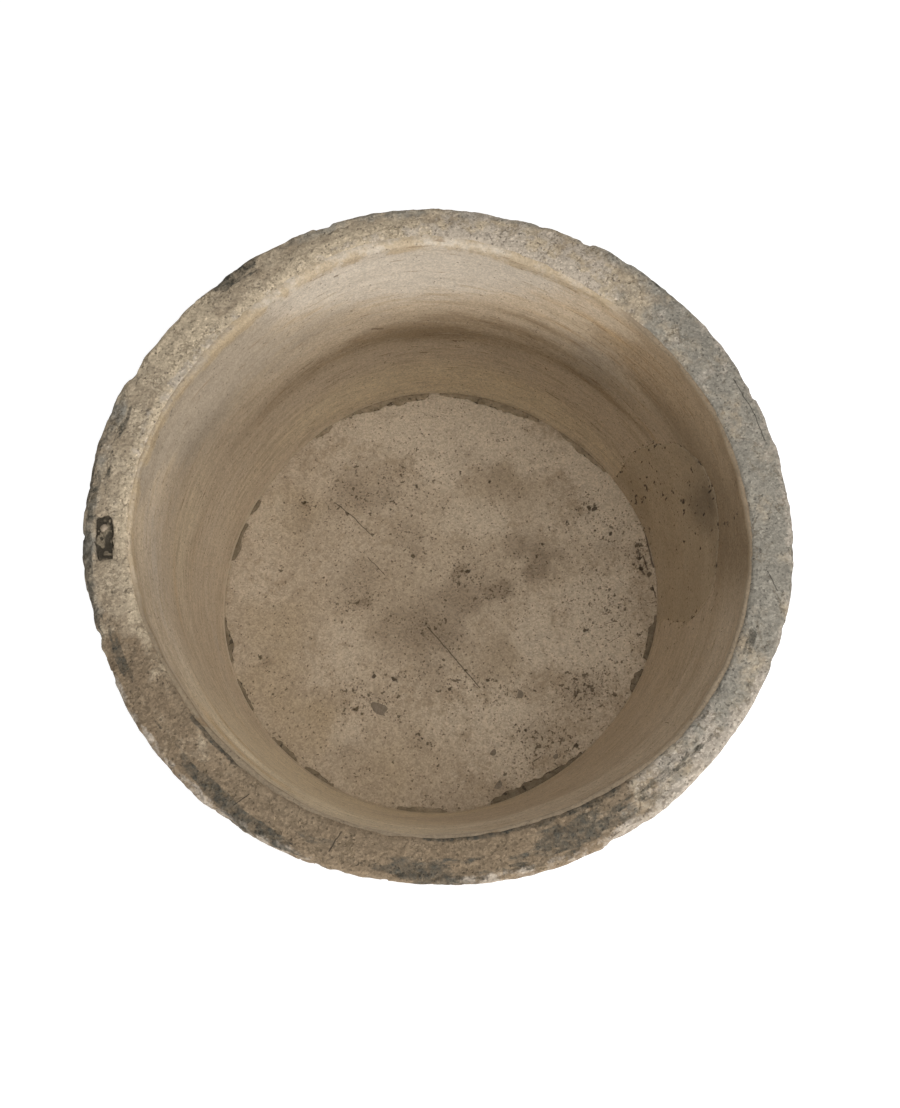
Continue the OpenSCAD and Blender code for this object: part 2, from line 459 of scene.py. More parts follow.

# %% [markdown]
# ## Light
# A studio tent: even white light from all round, large soft lamps overhead and on the right, and a wide low
# lamp in front. The low lamp passes over the front of the rim and reaches only the upper part of the wall
# behind, which is what lights that wall in a bright band; the render's colour adds painted light in that band
# too.

# %% Lamps and world
# Lamps that face the middle of the rim: distance, direction, elevation, width, height and power
LAMPS = {
    "overhead": (2.2, 0, 88, 1.6, 1.6, 17),
    "right": (2.2, -2, 44, 1.6, 1.6, 19),
    "front": (2.4, -82, 11, 1.1, 0.32, 42),
}
AMBIENT = 0.32
for name, (distance, az, elevation, width, height, power) in LAMPS.items():
    data = bpy.data.lights.new(name, "AREA")
    data.shape = "RECTANGLE"
    data.size = width
    data.size_y = height
    data.energy = power
    lamp = bpy.data.objects.new(name, data)
    flat = distance * math.cos(math.radians(elevation))
    lamp.location = (
        flat * math.cos(math.radians(az)), flat * math.sin(math.radians(az)),
        HEIGHT + distance * math.sin(math.radians(elevation)),
    )
    lamp.rotation_euler = (math.radians(90 - elevation), 0, math.radians(az + 90))
    bpy.context.scene.collection.objects.link(lamp)

world = bpy.data.worlds.new("tent")
bpy.context.scene.world = world
world.use_nodes = True
world.node_tree.nodes.clear()
seen = wire(world.node_tree, "LightPath", out="Is Camera Ray")
strength = wire(world.node_tree, "MapRange", {"Value": seen, "To Min": AMBIENT, "To Max": 1.0})
backdrop = wire(world.node_tree, "Background", {"Color": (1, 1, 1, 1), "Strength": strength})
world_out = world.node_tree.nodes.new("ShaderNodeOutputWorld")
world.node_tree.links.new(backdrop, world_out.inputs["Surface"])
print("ambient strength:", AMBIENT)

# %% [markdown]
# ## Studio floor
# A plain floor that shows near white to the camera and still takes the stone's shadow: an
# off-white diffuse sheet plus a little light of its own for camera, mirror and glass rays only.
# That light grows outwards, where the lamps no longer reach, so that no grey far edge shows.

# %% Floor sheet
SHEET_REACH = 6.0
SHEET_RING = 2.0
SHEET_T = 0.01
sheet_r = np.array([[SHEET_RING], [SHEET_REACH], [SHEET_REACH]])
sheet_z = np.array([[0.0], [0.0], [-SHEET_T]])
sheet_poles = np.array([[0, 0, 0.0], [0, 0, -SHEET_T]])
sheet = add_piece("studio_floor", polar(sheet_r, AZ[::20], sheet_z), poles=sheet_poles)
white, tree, place, _ = start("white_studio_floor")
kinds = ("Is Camera Ray", "Is Glossy Ray", "Is Transmission Ray")
rays = strongest(tree, *(wire(tree, "LightPath", out=kind) for kind in kinds))
away = wire(tree, "VectorMath", {0: place}, out="Value", operation="LENGTH")
glow = wire(
    tree, "MapRange", {"Value": away, "From Min": 0.8, "From Max": 3.0, "To Min": 0.6, "To Max": 0.85},
)
sheen = wire(tree, "Emission", {"Color": (1, 1, 1, 1), "Strength": summed(tree, 0, (rays, glow))})
matt = wire(tree, "BsdfDiffuse", {"Color": colour("#d8d8d8")})
both = wire(tree, "AddShader", {0: sheen, 1: matt})
tree.links.new(both, tree.nodes.new("ShaderNodeOutputMaterial").inputs["Surface"])
sheet.data.materials.append(white)

# %% [markdown]
# ## The outline of the vessel
# These are the curves the stone was modelled with. The real one isn't quite round: the waves
# below are how far the rim's inner edge and the floor's seam lie off their circles.


# %% Profiles
def outside_r(z):
    """Radius of the outside: a straight taper from foot to shoulder plus the belly 4t(1 - t)."""
    t = z / SHOULDER_Z
    return BASE_R + (OUTER_R - BASE_R) * t + BELLY * 4 * t * (1 - t)


def finished_r(z):
    """Radius of the finished hollow: a straight flare from seam to mouth plus the bow 4t(1 - t)."""
    t = np.clip((z - FLOOR_TOP) / (HEIGHT - FLOOR_TOP), 0, 1)
    return SEAM_R + (MOUTH_R - SEAM_R) * t + WALL_BOW * 4 * t * (1 - t)


OUTLINE_LOBES = [(0, -2.4, 0), (1, 1.9, -88), (2, 1.8, -69), (3, 0.5, -8), (5, 0.5, 109), (6, 1.0, -66)]
RIM_LOBES = [(0, -1.5, 0), (1, 3.5, -50), (2, 3.9, -112), (3, 3.3, -70), (4, 2.6, 0), (5, 2.2, 150)]
SEAM_LOBES = [(0, -1.0, 0), (2, 2.7, 84), (3, 2.0, -33), (4, 2.0, 25)]


def rim_edge(az):
    """How far the render's edge on the rim lies outside its circle."""
    return lobes(az, RIM_LOBES)


def seam_edge(az):
    """How far the floor's seam lies outside its circle."""
    return lobes(az, SEAM_LOBES)


def hollow_shift(az, z):
    """How far the finished wall lies outside its circle: seam waves below, rim waves above."""
    t = smooth((z - FLOOR_TOP) / (HEIGHT - FLOOR_TOP))
    return (1 - t) * seam_edge(az) + t * rim_edge(az)


def lip_roll(az):
    """How wide the render's edge rolls over: about 3 mm, and up to 8 mm at the back."""
    return LIP * (0.26 + 0.39 * span(az, 55, 145, 40))


def rim_sag(az):
    """How far the worn rim lies below its full height: broad waves, from 0.2 to 2.4 mm."""
    ring = polar(1.0, az, 0.0)
    return (1.3 + 1.1 * np.clip(fractal(ring, 0.55, 2, 31), -1, 1)) * MM


print(f"rim edge lies {rim_edge(AZ).min() / MM:.1f} to {rim_edge(AZ).max() / MM:.1f} mm off its circle")

# %% [markdown]
# ## Stone block
# A mason roughs out such a block with a pick and then a chisel, and centuries wear its edge. So
# the surface is a surface of revolution, pushed inwards only: by broad waves, by the shallow
# bowls that the pick leaves, by grain, and by the knobs and chips of its outer edge. The profile
# runs from the bottom of the hollow up its wall, over the rim, down the outside and under.


# %% Rows of the stone
def stone_rows():
    """Radius and height of each row and direction, before wear, as two arrays [row, column]."""
    inner = MOUTH_R + LIP + rim_edge(AZ) - 0.4 * lip_roll(AZ)
    flat, shoulder = OUTER_R - EDGE_W, HEIGHT - EDGE_H
    bowl = [(share * (SEAM_R + RENDER_T), BASE_T) for share in (0.33, 0.67, 1.0)]
    bore = [(finished_r(z) + RENDER_T + hollow_shift(AZ, z), z) for z in np.linspace(70, 350, 6) * MM]
    edge = [
        (inner + INNER_W * (1 - math.cos(a)), HEIGHT - INNER_H * (1 - math.sin(a)))
        for a in np.linspace(0.1, math.pi / 2, 5)
    ]
    rim = [(inner + INNER_W + (flat - inner - INNER_W) * t, HEIGHT) for t in np.linspace(0, 1, 26)[1:]]
    arris = [
        (flat + EDGE_W * math.sin(a), shoulder + EDGE_H * math.cos(a))
        for a in np.linspace(0, math.pi / 2, 15)[1:]
    ]
    side = [(min(outside_r(z), OUTER_R), z) for z in np.linspace(shoulder, FOOT_ROUND, 58)[1:]]
    foot_r = outside_r(FOOT_ROUND) - FOOT_ROUND
    foot = [
        (foot_r + FOOT_ROUND * math.cos(a), FOOT_ROUND * (1 - math.sin(a)))
        for a in np.linspace(0, math.pi / 2, 6)[1:]
    ]
    under = [(foot_r * share, 0.0) for share in (0.8, 0.55, 0.25)]
    return stacked(bowl + bore + edge + rim + arris + side + foot + under)


stone_r, stone_z = stone_rows()
print("rows of the stone:", len(stone_r))


# %% Wear of the stone
# Chips out of the outer edge: direction, length and depth in mm
CHIPS = [
    (153, 44, 8), (132, 34, 7), (63, 52, 7), (25, 46, 8), (14, 28, 6), (-60, 60, 7), (-124, 50, 8),
]
# Small knobs and dips of the outline: direction, millimetres outwards, degrees to either side
KNOBS = [
    (-171, 1.4, 7), (-154, -0.8, 8), (-126, 0.8, 6), (-96, -0.7, 5), (-58, 0.5, 6), (-45, -0.9, 7),
    (-29, 0.8, 6), (7, -1.6, 5), (22, 0.8, 9), (45, -1.1, 8), (59, 1.5, 5), (66, -0.6, 4),
    (79, -1.4, 5), (91, 1.5, 5), (108, -1.0, 4), (126, 1.5, 5), (133, -1.5, 4), (145, -1.4, 5),
    (156, 2.2, 6), (174, -2.4, 7),
]
# Pocket in the rim: direction of its middle, length, width, distance out, depth
POCKET_AZ = -176
POCKET_L = 44 * MM
POCKET_W = 16 * MM
POCKET_R = OUTER_R - 17 * MM - POCKET_W / 2
POCKET_SINK = 6 * MM


def chipped(r, z, az):
    """Radius after the chips: each is a ball of the size that takes its length and depth out."""
    for centre, length, depth in CHIPS:
        ball = (length**2 / 4 + depth**2) / (2 * depth) * MM
        middle = OUTER_R - depth * MM + ball
        turn = np.radians(turned(az, centre))
        inside = ball**2 - (middle * np.sin(turn)) ** 2 - (z - HEIGHT + ARRIS_H / 3) ** 2
        face = middle * np.cos(turn) - np.sqrt(np.maximum(inside, 0))
        facing = (np.abs(turn) < 0.5) & (inside > 0)
        r = np.where(facing, np.minimum(r, face), r)
    return r


def pocket_share(r, az, soft=2 * MM):
    """1 inside the oblong pocket of the rim, easing to 0 over `soft` at its broken sides."""
    turn = np.radians(turned(az, POCKET_AZ))
    across = POCKET_W / 2 - np.abs(r * np.cos(turn) - POCKET_R)
    along = POCKET_L / 2 - np.abs(r * np.sin(turn))
    broken_side = 1.4 * MM * noise(polar(r, az, 0.0), 6 * MM, 19)
    return smooth((np.minimum(across, along) + broken_side) / soft + 0.5)


def weather(r, z, az):
    """Depth of wear below the modelled outline, in metres: waves of 90 mm, pick marks of 21 mm,
    grain of 14 mm and less, and an arris that crumbles in lumps of 10 mm."""
    points = polar(r, az, z)
    wear = 0.5 + 0.5 * fractal(points, 90 * MM, 2, 11)
    picked = 1.1 * scallops(points * (1, 1, 0.8), 21 * MM, 12) ** 2
    grain = 0.55 * fractal(points, 7 * MM, 3, 13) + 0.35 * fractal(points, 14 * MM, 2, 17)
    crumbled = 2.2 * smooth((noise(points, 10 * MM, 18) - 0.2) / 0.4) * smooth((r - 337 * MM) / (8 * MM))
    return np.maximum(wear + picked + grain + crumbled, 0.05) * MM


def worn_stone():
    """Radius and height of each place on the worn stone: the outline pushed in along its normal,
    its top let down, its pocket sunk and its chips taken out."""
    dr, dz = np.gradient(stone_r, axis=0), np.gradient(stone_z, axis=0)
    length = np.hypot(dr, dz)
    out_r, out_z = -dz / length, dr / length
    seen_rows = smooth((stone_z - 1 * MM) / (20 * MM)) * smooth((stone_r - 285 * MM) / (10 * MM))
    depth = weather(stone_r, stone_z, AZ) * seen_rows
    outer = smooth((stone_r - 318 * MM) / (26 * MM)) * smooth((stone_z - 200 * MM) / (140 * MM))
    knobs = sum(mm * near(AZ, az, reach) for az, mm, reach in KNOBS) * MM
    shape = lobes(AZ, OUTLINE_LOBES) + knobs
    inset = 0.5 * (np.hypot(shape, 0.8 * MM) - shape)
    r = stone_r - depth * out_r - inset * outer
    z = stone_z - depth * out_z
    top = smooth((stone_z - SHOULDER_Z) / ARRIS_H)
    inner_fall = 1.5 * MM * smooth((BORE_TOP_R + rim_edge(AZ) + 4 * MM - stone_r) / (8 * MM))
    outer_fall = 1.5 * MM * smooth((stone_r - 322 * MM) / (16 * MM))
    z = z - top * (rim_sag(AZ) + inner_fall + outer_fall)
    z = z - top * POCKET_SINK * pocket_share(r, AZ)
    r = chipped(r, z, AZ)
    return r, z


worn_r, worn_z = worn_stone()
print(f"worn stone: widest {worn_r.max() * 2:.4f} m, highest {worn_z.max():.4f} m")

# %% [markdown]
# ## Colours of the stone
# The stone's colour changes round the rim, and this is what makes it look old: cool grey where it
# was washed by rain, tan where render dust sits, dark where lichen and dirt hold on. Each zone is
# one number for each point of the mesh, and the material breaks its edges up with noise.


# %% Zones of the stone
# Smears of soot and lichen: direction and radius, how far they reach both ways, strength
SMEARS = [
    (-172, 342, 24, 9, 0.5), (-156, 331, 14, 7, 0.6), (-131, 333, 12, 9, 0.6), (-93, 342, 12, 13, 1.0),
    (-99, 336, 10, 5, 0.7), (-77, 337, 12, 12, 0.5), (-66, 324, 14, 22, 0.65), (-46, 328, 18, 14, 0.4),
    (-120, 340, 14, 10, 0.8), (-112, 326, 12, 8, 0.5), (-90, 328, 14, 8, 0.45), (-22, 322, 14, 7, 0.3),
    (128, 335, 16, 13, 0.55), (168, 334, 18, 14, 0.4), (62, 340, 9, 6, 0.3), (-36, 316, 14, 6, 0.25),
    (-141, 326, 8, 8, 0.4), (127, 342, 6, 12, 1.0), (132, 338, 5, 12, 0.9), (48, 343, 12, 8, 0.5),
]
# Top of the rim: strength, first and last direction, degrees of soft end, and the part of the rim
RIM_ZONES = {
    "cool": [
        (0.9, -28, 46, 44, "all"), (0.55, -62, -28, 16, "all"), (0.4, 46, 118, 20, "outer"),
        (0.5, 156, 202, 14, "outer"),
    ],
    "tan": [
        (1.0, 56, 180, 14, "inner"), (0.6, 180, 246, 16, "inner"), (0.35, 60, 90, 8, "inner"),
        (0.9, 137, 152, 5, "all"), (0.2, -50, -28, 10, "all"), (0.45, 52, 120, 16, "all"),
        (-0.45, 52, 120, 16, "outer"), (0.3, -160, -98, 14, "all"), (-0.18, -160, -98, 14, "outer"),
    ],
    "earth": [
        (0.85, -160, -54, 12, "all"), (0.45, -128, -76, 12, "all"), (0.15, 108, 180, 10, "outer"),
    ],
    "dark": [
        (0.8, -138, -124, 5, "edge"), (0.7, -92, -60, 6, "edge"), (0.1, -30, 10, 8, "edge"),
        (0.2, 20, 135, 12, "last"), (0.2, 158, 190, 8, "last"),
    ],
    "pale": [
        (0.5, -156, -108, 10, "last"), (0.5, -88, -50, 8, "last"), (0.35, -56, -24, 10, "last"),
        (0.3, -40, 40, 10, "last"), (0.15, -60, -30, 10, "all"), (0.35, -56, -34, 8, "all"),
        (0.25, -5, 100, 20, "all"), (0.25, 56, 90, 8, "all"), (0.2, 155, 185, 10, "all"),
        (0.3, 55, 170, 14, "inner"), (0.3, 138, 156, 6, "inner"),
    ],
}
# Outside: mean, swing, size in mm and seed of its noise, squeeze in height, share near the foot
OUTSIDE_ZONES = {
    "cool": (0.35, 0.5, 170, 33, 1, 0), "tan": (0.1, 0.35, 120, 34, 1, 0),
    "earth": (0.3, 0.45, 150, 35, 1, 0.3), "dark": (0.05, 0.4, 110, 36, 0.6, 0.2),
    "pale": (0.15, 0.4, 90, 37, 1, 0),
}


def stone_zones():
    """Cool, tan, earthy, dark and pale zones, from listed directions and radii. Directions are shaken by
    noise first, so that no zone ends in a straight line."""
    points = polar(worn_r, AZ, worn_z)
    way = AZ + 2.5 * noise(points, 50 * MM, 38) + 2.5 * noise(points, 20 * MM, 39)
    mouth = BORE_TOP_R + rim_edge(AZ)
    parts = {
        "all": 1.0,
        "outer": smooth((worn_r - 324 * MM) / (16 * MM)),
        "last": smooth((worn_r - 336 * MM) / (7 * MM)),
        "inner": smooth((mouth + 15 * MM - worn_r) / (11 * MM)),
        "edge": smooth((mouth + 5 * MM - worn_r) / (5 * MM)),
    }
    smears = sum(
        share * near(way, az, reach) * smooth(1.4 - 1.4 * np.abs(worn_r - r * MM) / (wide * MM))
        for az, r, reach, wide, share in SMEARS
    )
    more = {"dark": smears + 0.5 * pocket_share(worn_r, AZ, 9 * MM)}
    high = smooth((worn_z - HEIGHT + 80 * MM + 30 * MM * noise(points, 60 * MM, 40)) / (60 * MM))
    splashed = smooth((70 * MM - worn_z) / (60 * MM))
    zones = {}
    for name, (mean, swing, size, seed, squeeze, splash) in OUTSIDE_ZONES.items():
        rows = RIM_ZONES[name]
        top = sum(share * span(way, a, b, soft) * parts[part] for share, a, b, soft, part in rows)
        outside = mean + swing * noise(points * (1, 1, squeeze), size * MM, seed) + splash * splashed
        zones[name] = high * (top + more.get(name, 0)) + (1 - high) * outside
    return zones


stone_values = stone_zones()
print("zones of the stone:", *stone_values)

# %% Finish of the stone
# Cracks and scratches on top of the rim: direction and radius at both ends, and half width
RIM_CRACKS = [
    (-107, 332, -106, 313, 0.7), (-123.8, 333, -122.7, 318, 0.6), (-10, 323, -13, 335, 0.5),
    (26, 333, 20, 335, 0.5), (20, 335, 13.6, 336, 0.5),
]
# Crusts: colour, strength, size in mm of the breaks in their edge, seed, softness, raggedness
CRUSTS = {
    "cool": ("#8a867c", 0.85, 16, 11, 0.35, 0.6), "tan": ("#bfae94", 0.9, 9, 12, 0.25, 0.6),
    "earth": ("#7c6a54", 0.85, 16, 13, 0.3, 0.8), "pale": ("#b6aa9b", 0.75, 8, 14, 0.2, 0.6),
}


def limestone():
    """Hewn limestone, weathered outdoors: matt, with 1 to 2 mm crystals, some light and some full
    of dirt, small pits, and crusts of lichen and soot with edges broken at every size."""
    material, tree, place, zone = start("weathered_hewn_limestone", *CRUSTS, "dark")
    fine, kind = grains(tree, place, 1.9 * MM)
    lumps = clouds(tree, place, 3.4 * MM, 2, 3.0, 0.7)
    broad = clouds(tree, place, 14 * MM, 3, 6.0, 0.65)
    base = paint(tree, colour("#968670"), patch(tree, 0.5, 0.5, (broad, 0.6)), 1, "#b9a991")
    for name, (code, strength, size, seed, soft, ragged) in CRUSTS.items():
        crust = broken(tree, place, zone[name], size * MM, seed, ragged, soft)
        base = paint(tree, base, crust, strength, code)
    soot = broken(tree, along_rim(tree, place, 3.4), zone["dark"], 7 * MM, 15, 1.0, 0.2)
    soot = summed(tree, 0, (soot, summed(tree, 0.85, (lumps, 0.7))))
    base = paint(tree, base, soot, 0.8, "#4e4a41")
    base = toned(tree, base, 0.5, (lumps, 0.25), (fine, 0.42))
    bent = wire(tree, "Math", {0: clouds(tree, place, 9 * MM, 16, 4.0, 0.6)}, operation="ABSOLUTE")
    worms = wire(tree, "MapRange", {"Value": bent, "From Min": 0.13, "From Max": 0.03})
    worms = summed(tree, 0, (worms, patch(tree, 0.2, 0.42, (broad, 0.7))))
    base = paint(tree, base, worms, 0.42, "#65563f")
    cracks = scratches(tree, place, 5 * MM, 1.5 * MM, [
        (polar(r0 * MM, az0, 0.0), polar(r1 * MM, az1, 0.0), width * MM)
        for az0, r0, az1, r1, width in RIM_CRACKS
    ], ON_PLAN)
    base = paint(tree, base, cracks, 0.7, "#2d2922")
    dirt = wire(tree, "Math", {0: kind, 1: summed(tree, 0.05, (zone["dark"], 0.06))}, operation="LESS_THAN")
    shine = wire(tree, "Math", {0: kind, 1: 0.93}, operation="GREATER_THAN")
    base = toned(tree, base, 1.0, (dirt, -0.4), (shine, 0.2))
    pits = spots(tree, place, 2.6 * MM, 4, -0.38, (zone["dark"], 0.5))
    base = paint(tree, base, pits, 0.7, "#37332b")
    return close(
        material, base, 1.6 * MM, 0.92,
        (lumps, 0.4), (fine, 0.14), (pits, -0.4), (cracks, -0.6), (worms, -0.3),
    )


stone_poles = np.array([[0, 0, BASE_T], [0, 0, 0.0]])
stone = add_piece("hewn_stone", polar(worn_r, AZ, worn_z), poles=stone_poles, **stone_values)
install(stone, limestone(), "hewn_stone", "stone_shell")

# %% [markdown]
# ## Wall repair: where it lies
# The repair fills an arch cut into the render on the right. Its outline is a superellipse that
# springs from below the floor and leans to the left, and the render is let back behind it. One
# function says how far inside that outline a place on the wall lies.

# %% Outline of the repair
PATCH_AZ = 12
PATCH_HALF = 116 * MM
PATCH_TOP = FLOOR_TOP + 252 * MM
PATCH_SPRING = 22 * MM
PATCH_LEAN = -25 * MM
PATCH_SQUARE = 3
# Noise on the wall is worked out on a cylinder of this radius
WALL_MEAN_R = 0.28
# Where the repair shows, from the photograph: height in mm, its left and its right direction
PATCH_SIDES = np.array([
    (50, -7.5, 35), (99, -9.5, 34.5), (150, -12.5, 33.5), (184, -14, 31), (221, -14.6, 28.5),
    (240, -13.8, 27), (254, -11, 25.5), (268, -8, 23.5), (280, -3, 21), (291, 1.5, 18), (297, 4.5, 15),
    (302, 9, 10),
])


def patch_share(az, z):
    """0 on the outline of the repair, positive inside, negative outside. It is the smaller of two:
    the arch cut into the render, 1 - |x|^n - |y|^n, and the sides that the photograph shows."""
    y = (z - PATCH_SPRING) / (PATCH_TOP - PATCH_SPRING)
    x = (finished_r(z) * np.sin(np.radians(turned(az, PATCH_AZ))) - PATCH_LEAN * y) / PATCH_HALF
    ahead = np.cos(np.radians(turned(az, PATCH_AZ))) > 0
    arch = np.where(ahead, 1 - np.abs(x) ** PATCH_SQUARE - np.abs(y) ** PATCH_SQUARE, -1.0)
    heights = PATCH_SIDES[:, 0] * MM
    left = turned(az, 0) - np.interp(z, heights, PATCH_SIDES[:, 1], right=10)
    right = np.interp(z, heights, PATCH_SIDES[:, 2], right=9) - turned(az, 0)
    points = polar(WALL_MEAN_R, az, z)
    wobble = 0.7 * noise(points, 24 * MM, 41) + 0.4 * noise(points, 8 * MM, 42)
    return np.minimum(arch * 3, (np.minimum(left, right) + wobble) / 8)


print("share of the repair near its middle:", round(float(patch_share(PATCH_AZ, 150 * MM)), 2))

# %% [markdown]
# ## Render lining
# Lime render is thrown on, floated and then trowelled round the hollow, so it is smooth, with
# long shallow waves and fine level streaks. At the top it rolls over the rim as a soft lip and
# thins to nothing on the stone, so its edge is ragged wherever the stone is.


# %% Shape of the render
def trowelled(az, z):
    """How far the finished wall stands off its curve, outwards, in metres: long level waves of two
    sizes, and streaks of two sizes that are eight times as long as they are high."""
    points = polar(WALL_MEAN_R, az, z)
    waves = 1.3 * noise(points * (1, 1, 2.2), 120 * MM, 21) + 0.5 * noise(points * (1, 1, 3), 45 * MM, 22)
    streaks = 0.22 * noise(points * (1, 1, 8), 50 * MM, 23) + 0.1 * noise(points * (1, 1, 8), 24 * MM, 24)
    return (waves + streaks) * MM * smooth((z - FLOOR_TOP) / (20 * MM))


def lining_r(az, z):
    """Radius of the finished wall: its top 90 mm flare out to meet the small roll of the lip."""
    flare = (LIP - lip_roll(az)) * smooth((z - HEIGHT + 90 * MM) / (80 * MM))
    crooked = 1.3 * MM * noise(polar(0.31, az, 0.0), 26 * MM, 25) * smooth((z - HEIGHT + 40 * MM) / (34 * MM))
    return finished_r(z) + hollow_shift(az, z) + flare + crooked + trowelled(az, z)


def wall_point(az, z):
    """A point of the finished wall, from its direction and its height in mm."""
    return polar(lining_r(az, z * MM), az, z * MM)


# The render's foot under the floor, and how far behind its face the grid comes back down
RENDER_FOOT = FLOOR_TOP - 6 * MM
RENDER_BACK = 11 * MM


def lining_grid():
    """Rows up the wall, over the lip, out on the rim, and back down behind."""
    roll = lip_roll(AZ)
    crest = HEIGHT - rim_sag(AZ) - (3.5 - 1.5 * span(AZ, 55, 145, 40)) * MM
    lip_z = crest - roll
    levels = np.concatenate([np.linspace(0, 0.8, 62), np.linspace(0.8, 1, 26)[1:]])
    rows = []
    for t in levels:
        z = RENDER_FOOT + (lip_z - RENDER_FOOT) * t
        rows.append((lining_r(AZ, z) + 1.6 * MM * smooth(patch_share(AZ, z) / 0.2), z))
    foot = lining_r(AZ, lip_z)
    for a in np.linspace(0, math.pi / 2, 9)[1:]:
        rows.append((foot + roll * (1 - math.cos(a)), lip_z + roll * math.sin(a)))
    for t in np.linspace(0, 1, 8)[1:]:
        rows.append((foot + roll + 10 * MM * t, crest - 3 * MM * t * t))
    for z in (HEIGHT - 20 * MM, 200 * MM, RENDER_FOOT):
        rows.append((finished_r(z) + hollow_shift(AZ, z) + RENDER_BACK, z))
    return stacked(rows)


lining_rr, lining_zz = lining_grid()
print("rows of the render:", len(lining_rr))

# %% Stains of the render
# Stains on the wall, with painted light in the sunny patches and painted shade in some brown ones: direction,
# height in mm, degrees and mm they reach, strength
WALL_BANDS = {
    # Sunny patches are painted light, most of them low on the wall where light bounces off the floor
    "sunny": [
        (-118, 290, 54, 150, 1.0), (-124, 150, 48, 130, 0.8), (88, 78, 60, 90, 0.8),
        (60, 84, 40, 60, 0.4), (175, 220, 34, 70, 0.5), (-104, 92, 44, 44, 0.75), (20, 90, 40, 40, 0.5),
        (-75, 350, 24, 30, 0.4), (112, 100, 60, 60, 0.35), (-95, 210, 34, 60, 0.35),
        (150, 110, 60, 50, 0.3), (-72, 90, 34, 40, 0.35),
    ],
    # Brown bands are iron stains; those at the back of the wall, under the bright band, are partly painted
    # shade
    "brown": [
        (40, 300, 26, 44, 1.3), (62, 262, 34, 16, 0.7), (68, 232, 50, 24, 0.65), (48, 205, 34, 20, 0.7),
        (95, 205, 44, 34, 0.5), (140, 190, 36, 40, 0.3), (20, 330, 30, 40, 0.5),
        (120, 255, 34, 12, 0.35), (-70, 210, 60, 40, 0.15), (100, 190, 60, 36, 0.45),
        (38, 330, 16, 40, 0.5),
    ],
    "ochre": [
        (-130, 325, 26, 18, 0.8), (-135, 285, 26, 16, 0.7), (-118, 250, 34, 16, 0.6),
        (165, 340, 30, 14, 0.4), (-170, 240, 26, 14, 0.5), (175, 180, 30, 16, 0.4),
        (-100, 300, 30, 14, 0.4), (60, 350, 40, 10, 0.5), (-150, 160, 40, 16, 0.35),
        (30, 340, 20, 16, 0.4), (52, 322, 16, 10, 0.7), (60, 282, 22, 8, 0.7), (44, 250, 26, 9, 0.6),
        (70, 316, 20, 8, 0.5), (36, 216, 24, 8, 0.5),
    ],
    "grey": [
        (-170, 310, 40, 40, 0.5), (-150, 350, 30, 10, 0.6), (-160, 110, 50, 40, 0.3),
    ],
    "dusty": [
        (146, 320, 34, 110, 1.3), (118, 270, 26, 60, 0.6), (50, 250, 24, 90, 0.7),
        (165, 350, 24, 40, 0.9),
    ],
}
# Gouges and trowel lines on the wall: direction and height in mm at both ends, and half width
WALL_MARKS = [
    (105.8, 218, 103.5, 213, 1.4), (86.6, 177, 86.1, 176, 1.6), (84.5, 181, 84.2, 180, 1.1),
    (74, 128, 60, 124, 0.7), (60, 124, 46, 121, 0.7), (46, 121, 34, 114, 0.8), (70, 141, 52, 138, 0.6),
    (97, 165, 84, 163, 0.6), (121, 190, 120.7, 189, 1.4), (132, 246, 131.8, 245, 1.2),
    (-40.7, 308, -40.3, 292, 0.6), (110, 268, 109.8, 267, 1.2), (112, 340, 111.2, 339.5, 1.5),
    (63, 176, 62.7, 174, 1.4), (95, 150, 93, 150, 0.8),
]


def bands(az, z, chosen):
    """Sum of soft level patches, each fading away from its direction and height."""
    total = np.zeros(np.broadcast(az, z).shape)
    for centre, middle, reach, tall, share in chosen:
        total += share * near(az, centre, reach) * smooth(1 - np.abs(z - middle * MM) / (tall * MM))
    return total


def painted_light_band(az, z):
    """Painted light: a bright band under the rim at the back, where the low front lamp reaches, reaching
    furthest down at 98 degrees.
    """
    reach = 150 * MM * near(az, 98, 68)
    # The painted light is only half as strong in the top few millimetres, under the lip
    eased_at_top = 1 - 0.5 * smooth((z - HEIGHT + 8 * MM) / (5 * MM))
    return 1.1 * smooth((z - HEIGHT + reach) / (105 * MM)) * eased_at_top


print("stained patches on the wall:", sum(len(rows) for rows in WALL_BANDS.values()))

# %% Finish of the render
# Stains of the render, with painted light in the sunny patches and the bright band at the back, and painted
# shade in some brown bands: zone, colour and strength
WALL_STAINS = (
    ("sunny", "#d3c1a2", 0.85), ("brown", "#8d7759", 0.8), ("ochre", "#bb9d74", 0.6),
    ("grey", "#b7ab9b", 0.6), ("painted_light", "#c7bcac", 0.85), ("dusty", "#9e917f", 0.85),
)


